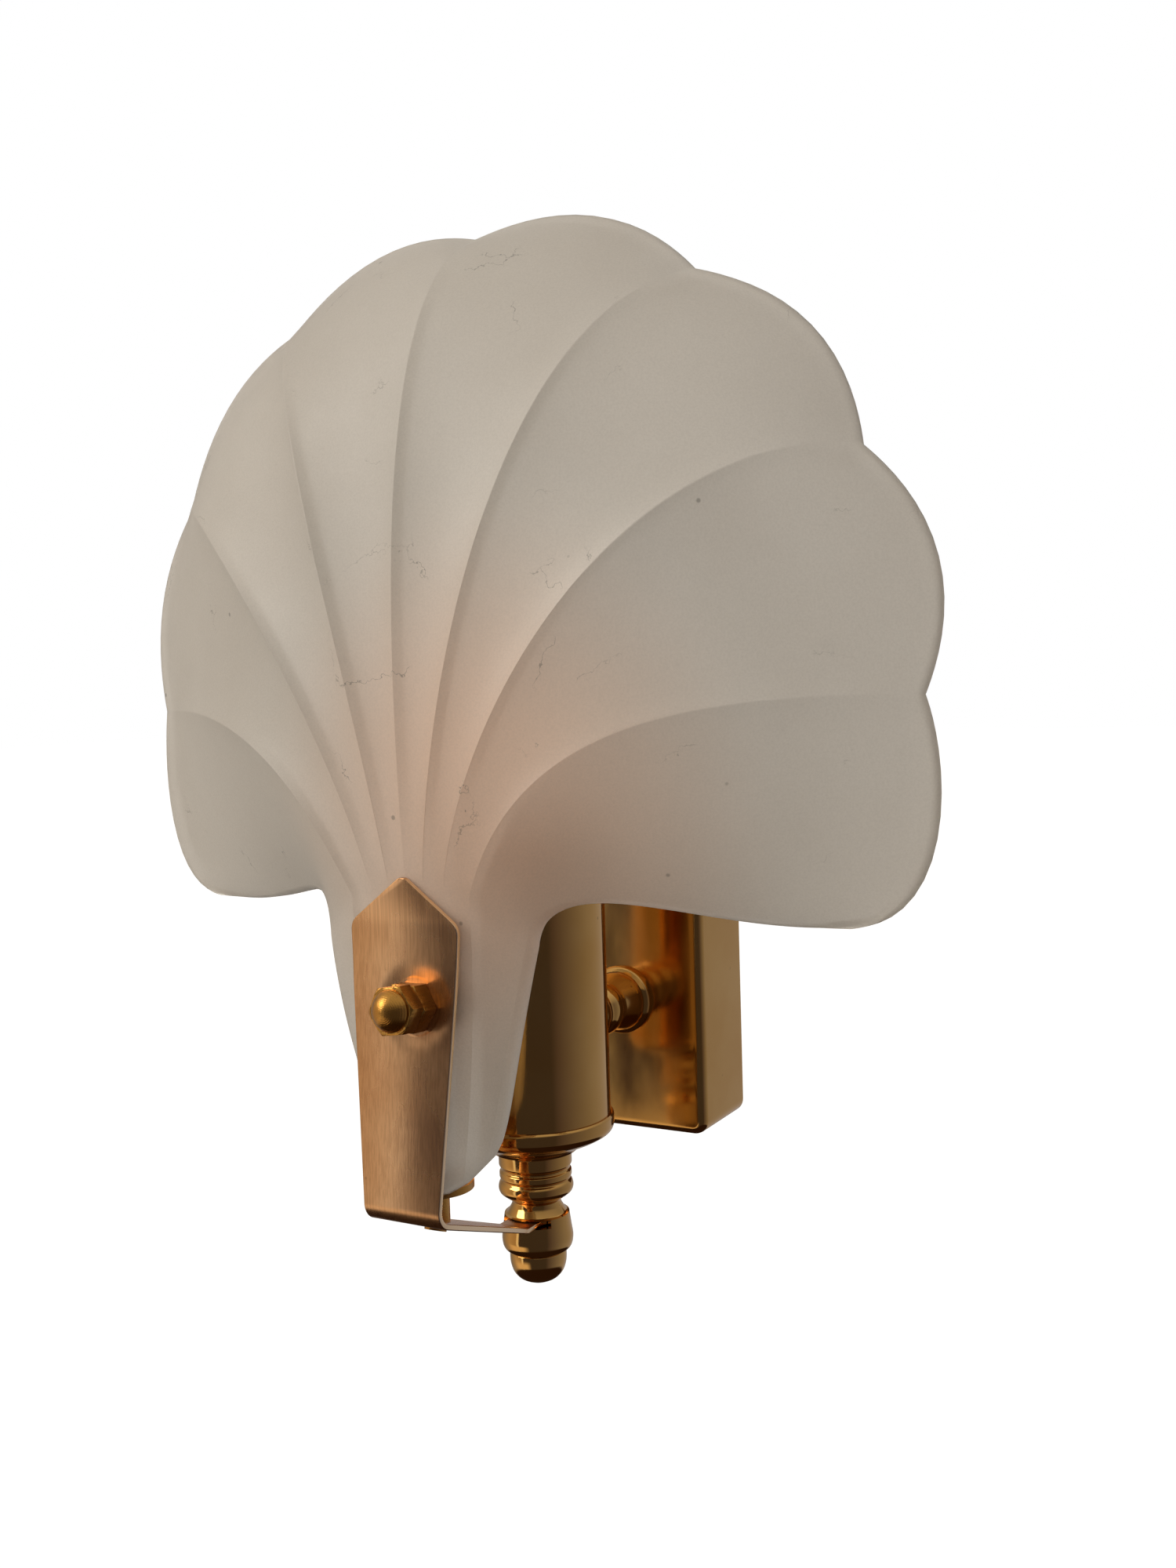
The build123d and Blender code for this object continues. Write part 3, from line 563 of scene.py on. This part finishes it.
def glass_shell():
    """The palmette: fluted front and back faces joined round a rounded edge."""
    front, back = whole_rows(False), whole_rows(True)
    columns = len(front[0])
    last = len(front) - 1
    points = [p for rows in (front, back) for row in rows for p in row]
    faces = []
    size = len(front) * columns

    def index(face, row, column):
        return face * size + row * columns + column

    for face in (0, 1):
        for row in range(last):
            for column in range(columns - 1):
                quad = [index(face, row, column), index(face, row, column + 1),
                        index(face, row + 1, column + 1), index(face, row + 1, column)]
                faces.append(quad if face == 0 else quad[::-1])
    border = [(0, c, 1, c) for c in range(columns)]
    border += [(r, columns - 1, r, columns - 2) for r in range(1, last)]
    border += [(last, c, last - 1, c) for c in range(columns - 1, -1, -1)]
    border += [(r, 0, r, 1) for r in range(last - 1, 0, -1)]
    strips = []
    for row, column, inner_row, inner_column in border:
        edge = round_edge((front[row][column], front[inner_row][inner_column]),
                          (back[row][column], back[inner_row][inner_column]))
        chain = [index(0, row, column)]
        for point in edge:
            chain.append(len(points))
            points.append(point)
        strips.append(chain + [index(1, row, column)])
    for this, after in zip(strips, strips[1:] + strips[:1]):
        for i in range(len(this) - 1):
            faces.append([this[i], this[i + 1], after[i + 1], after[i]])
    piece = mesh_piece("glass_palmette", [p * MM + ROW for p in points], faces)
    face_outwards(piece)
    return piece


def drill(radius, depth, matrix):
    """A round tool of that radius and depth, centred on a place and along its Z."""
    deselect()
    bpy.ops.mesh.primitive_cylinder_add(vertices=48, radius=radius * MM, depth=depth * MM,
                                        location=(0, 0, 0))
    return settle(bpy.context.object, matrix)


glass = glass_shell()
cut(glass, drill(STUD_RADIUS + 1.3, 30, STACK))
smooth(glass, 60)
finish_piece(glass, ["glass_shell"], "shade", GLASS)


# ---- strip ------------------------------------------------------------------------------
def arc_between(before, corner, after, radius, steps):
    """Points of a round corner of that radius between two straight runs, in a plane."""
    a = (before - corner).normalized()
    b = (after - corner).normalized()
    turn = math.pi - a.angle(b)
    reach = radius * math.tan(turn / 2)
    centre = corner + (a + b).normalized() * (radius / math.cos(turn / 2))
    start = corner + a * reach
    end = corner + b * reach
    points = []
    for i in range(steps + 1):
        way = (start - centre).lerp(end - centre, i / steps)
        points.append(centre + way.normalized() * radius)
    return points


# Half the strip's outline as (half width, height), from its softened point to its split.
OUTLINE = [p for p in rounded([(-STRIP_HALF_WIDE, STRIP_SHOULDER), (0, STRIP_TOP + 0.2),
                               (STRIP_HALF_WIDE, STRIP_SHOULDER), (13.3, 40.5),
                               (STRIP_HALF_LOW, STRIP_SPLIT)], 2.0, 6) if p[0] > 0.3]


def front_line(height):
    """Y of the strip's front at a height: upright, then a gentle knee, then leaning out."""
    knee_reach = 4.24
    below = STRIP_KNEE + knee_reach - height
    if below <= 0:
        return STRIP_FRONT
    if below < 2 * knee_reach:
        return STRIP_FRONT - STRIP_LEAN * below ** 2 / (4 * knee_reach)
    return STRIP_FRONT - STRIP_LEAN * (STRIP_KNEE - height)


def strip_path():
    """The outer line of the strip in its side view, as (Y, Z) from the point to the eye."""
    tab_y = -11.0
    drop = STRIP_KNEE - TAB_LOW - LEG_SLOPE * tab_y
    bend_y = (STRIP_FRONT - STRIP_LEAN * drop) / (1 + STRIP_LEAN * LEG_SLOPE)
    bend = Vector((bend_y, TAB_LOW + LEG_SLOPE * (tab_y - bend_y)))
    tab = Vector((tab_y, TAB_LOW))
    end = Vector((EYE_RADIUS, TAB_LOW))
    heights = [z for _, z in OUTLINE[:-1]] + list(range(52, -4, -4))
    path = [Vector((front_line(z), z)) for z in sorted(heights, reverse=True)]
    path += arc_between(path[-2], bend, tab, BEND_RADIUS, 14)
    path += [path[-1].lerp(tab, i / 8) for i in range(1, 7)]
    path += arc_between(bend, tab, end, BEND_RADIUS, 6)
    for i in range(13):
        path.append(Vector((-EYE_RADIUS * math.cos(math.pi * i / 12), TAB_LOW)))
    return path


def half_width(y, z):
    """Half the width of the strip at a place on its outer line."""
    if z > STRIP_SPLIT:
        for (wide, high), (next_wide, low) in zip(OUTLINE, OUTLINE[1:]):
            if low <= z <= high:
                return next_wide + (wide - next_wide) * (z - low) / (high - low)
        return OUTLINE[0][0]
    if y < LEG_NARROWS:
        return STRIP_HALF_LOW
    if y < LEG_NARROW:
        gone = y - LEG_NARROWS
        return STRIP_HALF_LOW + (TAB_HALF - STRIP_HALF_LOW) * gone / (LEG_NARROW - LEG_NARROWS)
    eye = math.sqrt(max(EYE_RADIUS ** 2 - y * y, 0.25))
    return max(eye, TAB_HALF) if y < 0 else eye


def glass_bracket():
    """The strip: one edge drawn along the side view, then made a sheet with soft edges."""
    deselect()
    path = strip_path()
    wide = half_width(*path[0])
    bpy.ops.mesh.primitive_plane_add(size=2 * wide * MM, location=(0, 0, 0))
    piece = bpy.context.object
    piece.name = "strip"
    bpy.ops.object.mode_set(mode="EDIT")
    bpy.ops.mesh.merge(type="COLLAPSE")
    bpy.ops.transform.translate(value=place(-wide, *path[0]))
    bpy.ops.mesh.extrude_vertices_move(TRANSFORM_OT_translate={"value": (2 * wide * MM, 0, 0)})
    bpy.ops.mesh.select_mode(type="EDGE")
    bpy.ops.mesh.select_all(action="SELECT")
    for here, there in zip(path, path[1:]):
        step = (0, (there.x - here.x) * MM, (there.y - here.y) * MM)
        bpy.ops.mesh.extrude_edges_move(TRANSFORM_OT_translate={"value": step})
        new_wide = half_width(*there)
        bpy.ops.transform.resize(value=(new_wide / wide, 1, 1), center_override=(0, 0, 0))
        wide = new_wide
    bpy.ops.object.mode_set(mode="OBJECT")
    thicken = piece.modifiers.new("sheet", "SOLIDIFY")
    thicken.thickness = SHEET * MM
    thicken.offset = -1.0    # the drawn line is the strip's outer face
    thicken.use_even_offset = True
    soft = piece.modifiers.new("soft edges", "BEVEL")
    soft.width = 0.3 * MM
    soft.segments = 3
    soft.angle_limit = math.radians(50)
    soft.use_clamp_overlap = False
    apply_modifiers(piece)
    eye = UPRIGHT @ Matrix.Translation((0, 0, TAB_LOW * MM))
    post = Matrix.Translation(place(0, POST_Y, -14))
    for radius, matrix in ((PIPE_BORE + 0.03, eye), (NUT_BORE, STACK), (POST_RADIUS, post)):
        cut(piece, drill(radius, 12, matrix))
    return piece


strip = glass_bracket()
smooth(strip, 40)
finish_piece(strip, ["glass_bracket"], "shade", STRIP_BRASS)


# ---- nuts -----------------------------------------------------------------------------
def hex_blank(name, height):
    """A hexagon with turned-off corners, standing on Z = 0, bored through for the stud."""
    deselect()
    corner = HEX_FLATS / math.sqrt(3)
    bpy.ops.mesh.primitive_cylinder_add(vertices=6, radius=corner * MM, depth=height * MM,
                                        location=(0, 0, height * MM / 2),
                                        rotation=(0, 0, math.radians(30)))
    nut = bpy.context.object
    bpy.ops.object.transform_apply()
    nut.name = name
    drop = 0.06 * HEX_FLATS
    envelope = turned("chamfer", [(0, 0), (corner - drop, 0), (corner, 0.5 * drop),
                                  (corner, height - 0.5 * drop), (corner - drop, height),
                                  (0, height)], 96)
    hole = turned("bore", [(0, -1), (NUT_BORE, -1), (NUT_BORE, height + 1), (0, height + 1)], 64)
    cut(nut, envelope, operation="INTERSECT")
    cut(nut, hole)
    close_seams(nut)
    return nut


def soften(piece, width):
    """Round a piece's edges by that many millimetres."""
    edges = piece.modifiers.new("soft edges", "BEVEL")
    edges.width = width * MM
    edges.segments = 2
    edges.angle_limit = math.radians(30)
    apply_modifiers(piece)
    close_seams(piece)


def join(name, *pieces):
    """One piece made of several."""
    deselect()
    for piece in pieces:
        piece.select_set(True)
    bpy.context.view_layer.objects.active = pieces[0]
    bpy.ops.object.join()
    pieces[0].name = name
    return pieces[0]


bracket_nut = hex_blank("strip_nut", HEX_HEIGHT)
soften(bracket_nut, 0.12)
settle(bracket_nut, STACK)
smooth(bracket_nut, 25)
finish_piece(bracket_nut, ["bracket_hex_nut"], "shade", NUT_BRASS)

ACORN_HEX = 4.2
dome_radius = 0.45 * HEX_FLATS
acorn_base = hex_blank("acorn_base", ACORN_HEX)
soften(acorn_base, 0.12)
dome_rise = ACORN_HEIGHT - ACORN_HEX - 0.3
dome_curve = (dome_radius ** 2 + dome_rise ** 2) / (2 * dome_rise)
dome_edge = math.degrees(math.acos(dome_radius / dome_curve))
dome_skin = arc_points((0, ACORN_HEIGHT - dome_curve), dome_curve, dome_edge, 86, 12)
dome = turned("dome", [(NUT_BORE, 0.6), (dome_radius, 0.6)] + dome_skin
              + [(0, ACORN_HEIGHT), (0, ACORN_HEIGHT - 2),
                 (NUT_BORE, ACORN_HEIGHT - 2), (NUT_BORE, 0.6)], 96)
acorn = join("dome_nut", acorn_base, dome)
acorn.data.transform(Matrix.Rotation(math.radians(8), 4, "Z"))
settle(acorn, STACK @ Matrix.Translation((0, 0, HEX_HEIGHT * MM)))
smooth(acorn, 25)
finish_piece(acorn, ["acorn_nut"], "shade", NUT_BRASS)


# ---- tube, collar and finial ------------------------------------------------------------
inner = TUBE_RADIUS - TUBE_WALL
tube = turned("lamp_sleeve", [(inner, -COLLAR_STEP), (TUBE_RADIUS, -COLLAR_STEP),
                              (TUBE_RADIUS, 20), (TUBE_RADIUS, 50), (TUBE_RADIUS, TUBE_TOP - 0.3),
                              (TUBE_RADIUS - 0.3, TUBE_TOP), (inner + 0.3, TUBE_TOP),
                              (inner, TUBE_TOP - 0.3), (inner, -COLLAR_STEP)], 192)
settle(tube, UPRIGHT)
smooth(tube)
finish_piece(tube, ["lamp_tube"], "fixture", BRASS)

seat = TUBE_RADIUS + 0.05
collar_outside = rounded([(10.5, COLLAR_LOW), (11.0, COLLAR_LOW + 0.8), (14.0, COLLAR_LOW + 2.2),
                          (17.2, COLLAR_LOW + 3.6), (19.2, -COLLAR_STEP - 1.2),
                          (COLLAR_RADIUS, -COLLAR_STEP), (COLLAR_RADIUS, -0.5),
                          (COLLAR_RADIUS - 0.4, 0)], 1.6, 4)
collar = turned("sleeve_cap", [(PIPE_BORE, COLLAR_LOW)] + collar_outside
                + [(seat, 0), (seat, -COLLAR_STEP), (inner - 1, -COLLAR_STEP),
                   (10.0, COLLAR_LOW + 2.5), (PIPE_BORE, COLLAR_LOW + 2.5),
                   (PIPE_BORE, COLLAR_LOW)], 160)
settle(collar, UPRIGHT)
smooth(collar)
finish_piece(collar, ["tube_cap"], "fixture", BRASS)

BALL_SPLIT = TAB_LOW + SHEET + 0.3
neck_outside = rounded([(8.6, COLLAR_LOW), (9.0, -9.6), (9.0, -12.6), (8.4, -13.2), (8.4, -13.8),
                        (8.9, -14.2), (8.9, -15.6), (8.3, -16.1), (9.0, -16.9), (9.3, -18.1),
                        (9.0, -19.3), (7.6, -20.4), (5.9, -21.4), (6.1, -22.6), (7.3, -24.6),
                        (8.0, BALL_SPLIT)], 1.0, 4)
neck = turned("finial_neck_piece", [(PIPE_BORE, COLLAR_LOW)] + neck_outside
              + [(PIPE_BORE, BALL_SPLIT), (PIPE_BORE, COLLAR_LOW)], 128)
settle(neck, UPRIGHT)
smooth(neck, 28)
finish_piece(neck, ["finial_neck"], "fixture", BRASS)

CUP_TOP, CUP_BORE_END = -34.0, -39.0
cup_outside = [(0, -42.2)] + rounded([(2.5, -42.1), (4.8, -41.1), (6.3, -39.4), (7.0, -37.0),
                                      (7.0, -34.4), (6.6, CUP_TOP)], 1.5, 4)
cup = turned("finial_end", cup_outside + [(PIPE_BORE, CUP_TOP), (PIPE_BORE, CUP_BORE_END),
                                          (0, CUP_BORE_END)], 128)
settle(cup, UPRIGHT)
smooth(cup, 40)
finish_piece(cup, ["finial_cup"], "fixture", BRASS)

ball_outside = rounded([(8.0, BALL_SPLIT), (8.5, -28.6), (8.85, -30.8), (8.6, -32.6),
                        (8.0, -33.7), (6.6, CUP_TOP)], 1.2, 5)
ball = turned("finial_ball_piece", [(PIPE_BORE, BALL_SPLIT)] + ball_outside
              + [(PIPE_BORE, CUP_TOP), (PIPE_BORE, BALL_SPLIT)], 128)


def cut_window(ball_piece):
    """The recess for the strip's eye, and the window in front that lets the tab swing."""
    swivel, spare, beyond = 12.0, 3.0, 80.0
    window = math.asin(TAB_HALF / (EYE_RADIUS + 0.3)) + math.radians(swivel + spare)
    floor = TAB_LOW - 0.3
    recess = turned("recess", [(0, floor), (EYE_RADIUS + 0.3, floor), (EYE_RADIUS + 0.3, 0),
                               (0, 0)], 96)
    side_x, side_y = beyond * math.sin(window), -beyond * math.cos(window)
    outline = [(0, 0), (side_x, side_y), (-side_x, side_y)]
    corners = [Vector((x, y, z)) * MM for z in (floor, 0) for x, y in outline]
    opening = mesh_piece("opening", corners, [[0, 1, 2], [5, 4, 3], [0, 3, 4, 1], [1, 4, 5, 2],
                                              [2, 5, 3, 0]])
    for tool in (recess, opening):
        face_outwards(tool)
    cut(ball_piece, recess, opening)
    close_seams(ball_piece)


cut_window(ball)
settle(ball, UPRIGHT)
smooth(ball, 35)
finish_piece(ball, ["finial_ball"], "fixture", BRASS)

# ---- arm --------------------------------------------------------------------------------
FLANGE = 2.5
cover_front = REACH - COVER_DEPTH
arm_end = cover_front - FLANGE
arm_outside = rounded([(6.3, 18.4), (6.3, 21), (5.9, 22), (7.0, 24), (7.6, 26.5), (7.0, 29),
                       (6.0, 31), (6.9, 32.6), (7.2, 34.5), (6.9, 36.4), (6.0, 38), (6.6, 40),
                       (7.8, arm_end - 1.5), (7.8, arm_end)], 1.2, 4)
arm = turned("arm_spindle", [(NIPPLE_BORE, 18.4)] + arm_outside
             + [(NIPPLE_BORE, arm_end), (NIPPLE_BORE, 18.4)], 96)
settle(arm, ARM)
tube_core = turned("tube_core", [(0, 0), (seat, 0), (seat, 40), (0, 40)], 192)
settle(tube_core, UPRIGHT)
cut(arm, tube_core)
smooth(arm, 35)
finish_piece(arm, ["arm_body"], "fixture", BRASS)

flange_outside = rounded([(8.0, 0), (9.2, 0.9), (9.2, FLANGE)], 0.8, 3)
flange = turned("arm_disc", [(NIPPLE_BORE, 0), (8.0, 0)] + flange_outside[1:]
                + [(NIPPLE_BORE, FLANGE), (NIPPLE_BORE, 0)], 128)
settle(flange, ARM @ Matrix.Translation((0, 0, arm_end * MM)))
smooth(flange, 35)
finish_piece(flange, ["arm_flange"], "fixture", BRASS)


# ---- wall cover ---------------------------------------------------------------------------
def pick_edges(piece, wanted):
    """In edit mode, select the edges whose two ends together pass a test."""
    shape = bmesh.from_edit_mesh(piece.data)
    bpy.ops.mesh.select_mode(type="EDGE")
    bpy.ops.mesh.select_all(action="DESELECT")
    for edge in shape.edges:
        edge.select_set(wanted(*(corner.co for corner in edge.verts)))
    bmesh.update_edit_mesh(piece.data)


def rounded_box(name, width, depth, height, corner, edge, front):
    """A box whose long corners and front edge are rounded, with its front face at that Y."""
    deselect()
    bpy.ops.mesh.primitive_cube_add(size=1, location=(0, 0, 0))
    box = bpy.context.object
    box.name = name
    bpy.ops.object.mode_set(mode="EDIT")
    bpy.ops.transform.resize(value=(width * MM, depth * MM, height * MM))
    pick_edges(box, lambda a, b: abs(a.y - b.y) > 0.5 * depth * MM)
    bpy.ops.mesh.bevel(offset=corner * MM, segments=10, affect="EDGES")
    pick_edges(box, lambda a, b: a.y < -0.49 * depth * MM and b.y < -0.49 * depth * MM)
    bpy.ops.mesh.bevel(offset=edge * MM, segments=6, affect="EDGES")
    bpy.ops.object.mode_set(mode="OBJECT")
    return settle(box, Matrix.Translation(place(0, front + depth / 2, ARM_HEIGHT)))


cover = rounded_box("cover_box", COVER_WIDTH, COVER_DEPTH, COVER_HEIGHT, COVER_CORNER, COVER_EDGE,
                    cover_front)
hollow = rounded_box("hollow", COVER_WIDTH - 2 * COVER_SHEET, COVER_DEPTH,
                     COVER_HEIGHT - 2 * COVER_SHEET, COVER_CORNER - COVER_SHEET,
                     COVER_EDGE - COVER_SHEET, cover_front + COVER_SHEET)
nipple_hole = turned("nipple_hole", [(0, cover_front - 3), (NIPPLE_BORE, cover_front - 3),
                                     (NIPPLE_BORE, cover_front + 4), (0, cover_front + 4)], 64)
settle(nipple_hole, ARM)
screw_holes = turned("screw_holes", [(0, -60), (SCREW_RADIUS, -60), (SCREW_RADIUS, 60), (0, 60)],
                     48)
settle(screw_holes, Matrix.Translation(place(0, REACH - SCREW_OUT, ARM_HEIGHT)))
cut(cover, hollow, nipple_hole, screw_holes)
smooth(cover, 30)
finish_piece(cover, ["wall_cover"], "fixture", COVER_BRASS)

# ---- CAD nodes that keep their own shape -----------------------------------------------------
KEPT = [
    (NUT_BRASS, ["shade_stud", "rear_hex_nut", "rest_disc", "rest_post", "cover_screws",
                 "earth_washer", "earth_screw", "terminal_tubes", "screw_shell",
                 "centre_contact", "side_contact", "holder_screws"]),
    (STEEL, ["stem_pipe", "cap_nut", "arm_nipple", "nipple_washers", "nipple_nuts",
             "wall_strap", "terminal_screws", "block_screw"]),
    (BLACK, ["holder_base", "holder_sleeve"]),
    (WHITE, ["holder_core", "terminal_block"]),
    (FIBRE, ["front_washer", "stud_sleeve", "rear_washer"]),
]
for finish_material, nodes in KEPT:
    for node in nodes:
        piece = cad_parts[node]
        piece.data.materials.clear()
        piece.data.materials.append(finish_material)
        smooth(piece, 30)
        for polygon in piece.data.polygons:
            polygon.material_index = 0

# ---- stage: world, floor, lights, camera ----------------------------------------------------
def background_rays(tree):
    """1 for the rays that should meet a plain white background: seen, mirrored or refracted."""
    paths = add(tree, "LightPath").outputs
    seen = combined(tree, "MAXIMUM", paths["Is Camera Ray"], paths["Is Glossy Ray"])
    return combined(tree, "MAXIMUM", seen, paths["Is Transmission Ray"])


world = bpy.data.worlds.new("pale_room")
bpy.context.scene.world = world
world.use_nodes = True
tree = world.node_tree
background = tree.nodes["Background"]
direction = add(tree, "TexCoord").outputs["Generated"]
towards = add(tree, "VectorMath", {0: direction}, operation="DOT_PRODUCT")
towards.inputs[1].default_value = Vector((-0.55, -0.65, 0.52)).normalized()
room = ramp(tree, levels(tree, towards.outputs["Value"], -1, 1), (0.0, "#A39E96"),
            (0.5, "#C9C4BC"), (1.0, "#FFFAF2"))
tree.links.new(mixed(tree, background_rays(tree), room, (1, 1, 1, 1)),
               background.inputs["Color"])


def floor():
    """A wide pale floor two metres below: white to the eye, yet darker in a shadow."""
    deselect()
    bpy.ops.mesh.primitive_plane_add(size=100, location=(0, 0, FLOOR_HEIGHT))
    piece = bpy.context.object
    piece.name = "floor"
    material, tree, shader = new_material("pale_floor", Base_Color=linear("#BCBCBC"),
                                          Roughness=1.0, Specular_IOR_Level=0.0,
                                          Emission_Color=(1, 1, 1, 1))
    strength = levels(tree, background_rays(tree), 0, 1, 0, 0.72)
    tree.links.new(strength, shader.inputs["Emission Strength"])
    piece.data.materials.append(material)


def room_walls():
    """A room round the lamp that only mirrors see, as the brass shows it.

    It is dark in front, paler behind and at the sides, with one narrow bright window in
    front at the left. A lit table top lies low below it, over a dark floor and under a pale
    ceiling. The ramps of turn run from the wall by the left, the front (0.5) and the right."""
    deselect()
    bpy.ops.mesh.primitive_uv_sphere_add(segments=96, ring_count=48, radius=ROOM_RADIUS,
                                         location=(0, 0, 0))
    bpy.ops.object.mode_set(mode="EDIT")
    bpy.ops.mesh.flip_normals()
    bpy.ops.object.mode_set(mode="OBJECT")
    piece = bpy.context.object
    piece.name = "room_walls"
    material = bpy.data.materials.new("room_walls")
    material.use_nodes = True
    tree = material.node_tree
    tree.nodes.clear()
    place_in_room = add(tree, "TexCoord").outputs["Object"]
    parts = add(tree, "SeparateXYZ", {"Vector": place_in_room}).outputs
    forwards = levels(tree, parts["Y"], -1, 1, 1, -1)
    forwards.node.clamp = False
    turn = levels(tree, combined(tree, "ARCTAN2", parts["X"], forwards), -math.pi, math.pi)
    walls = ramp(tree, turn, (0.0, "#A8A8AE"), (0.20, "#8A8580"), (0.31, "#BFAE9A"),
                 (0.384, "#B09C84"), (0.392, "#FFFFFF"), (0.405, "#FFFFFF"), (0.412, "#40343A"),
                 (0.44, "#403C40"), (0.66, "#423E42"), (0.69, "#57515B"), (0.85, "#8C8C94"),
                 (1.0, "#A8A8AE"))
    height = levels(tree, parts["Z"], -ROOM_RADIUS, ROOM_RADIUS)
    table = ramp(tree, height, (0.0, "#000000"), (0.18, "#000000"), (0.21, "#FFFFFF"),
                 (0.29, "#FFFFFF"), (0.33, "#000000"))
    ahead = ramp(tree, turn, (0.28, "#000000"), (0.34, "#FFFFFF"), (0.45, "#FFFFFF"),
                 (0.50, "#000000"))
    walls = mixed(tree, combined(tree, "MULTIPLY", table, ahead), walls, linear("#E8D6C0"))
    low = ramp(tree, height, (0.0, "#FFFFFF"), (0.18, "#FFFFFF"), (0.21, "#000000"))
    walls = mixed(tree, low, walls, linear("#2B1D15"))
    high = ramp(tree, height, (0.66, "#000000"), (0.9, "#D8D8D8"))
    walls = mixed(tree, high, walls, linear("#D9D6D0"))
    glow = add(tree, "Emission", {"Color": walls})
    add(tree, "OutputMaterial", {"Surface": glow.outputs["Emission"]})
    piece.data.materials.append(material)
    for ray in ("camera", "diffuse", "transmission", "volume_scatter", "shadow"):
        setattr(piece, "visible_" + ray, False)


def softbox(name, watts, size, at, colour):
    """A square lamp that faces the middle of the shade, at a point in millimetres."""
    data = bpy.data.lights.new(name, "AREA")
    data.energy = watts
    data.size = size * MM
    data.color = linear(colour)[:3]
    lamp = bpy.data.objects.new(name, data)
    bpy.context.scene.collection.objects.link(lamp)
    lamp.location = place(*at)
    aim = place(0, -30, 90) - lamp.location
    lamp.rotation_euler = aim.to_track_quat("-Z", "Y").to_euler()


floor()
room_walls()
softbox("window_light", 5.0, 600, (-750, -700, 650), "#FFF9F0")

# The camera of the photograph: its place in millimetres, its turns in degrees, and its focal
# length in pixels of a picture 2000 pixels high.
CAMERA_AT = (192.83, -315.10, 105.82)
CAMERA_TURN, CAMERA_DROP, CAMERA_ROLL = 29.0, 3.957, -1.807
FOCAL_PIXELS, PICTURE_HEIGHT = 1949.7, 2000
SENSOR_HEIGHT = 36.0
camera_data = bpy.data.cameras.new("camera")
camera_data.sensor_fit = "VERTICAL"
camera_data.sensor_height = SENSOR_HEIGHT
camera_data.lens = SENSOR_HEIGHT * FOCAL_PIXELS / PICTURE_HEIGHT
camera_data.clip_start = 0.01
camera = bpy.data.objects.new("camera", camera_data)
bpy.context.scene.collection.objects.link(camera)
camera.matrix_world = (Matrix.Translation(place(*CAMERA_AT))
                       @ Matrix.Rotation(math.radians(CAMERA_TURN), 4, "Z")
                       @ Matrix.Rotation(math.radians(90 - CAMERA_DROP), 4, "X")
                       @ Matrix.Rotation(math.radians(CAMERA_ROLL), 4, "Z"))
bpy.context.scene.camera = camera
bpy.context.scene.view_settings.view_transform = "Standard"
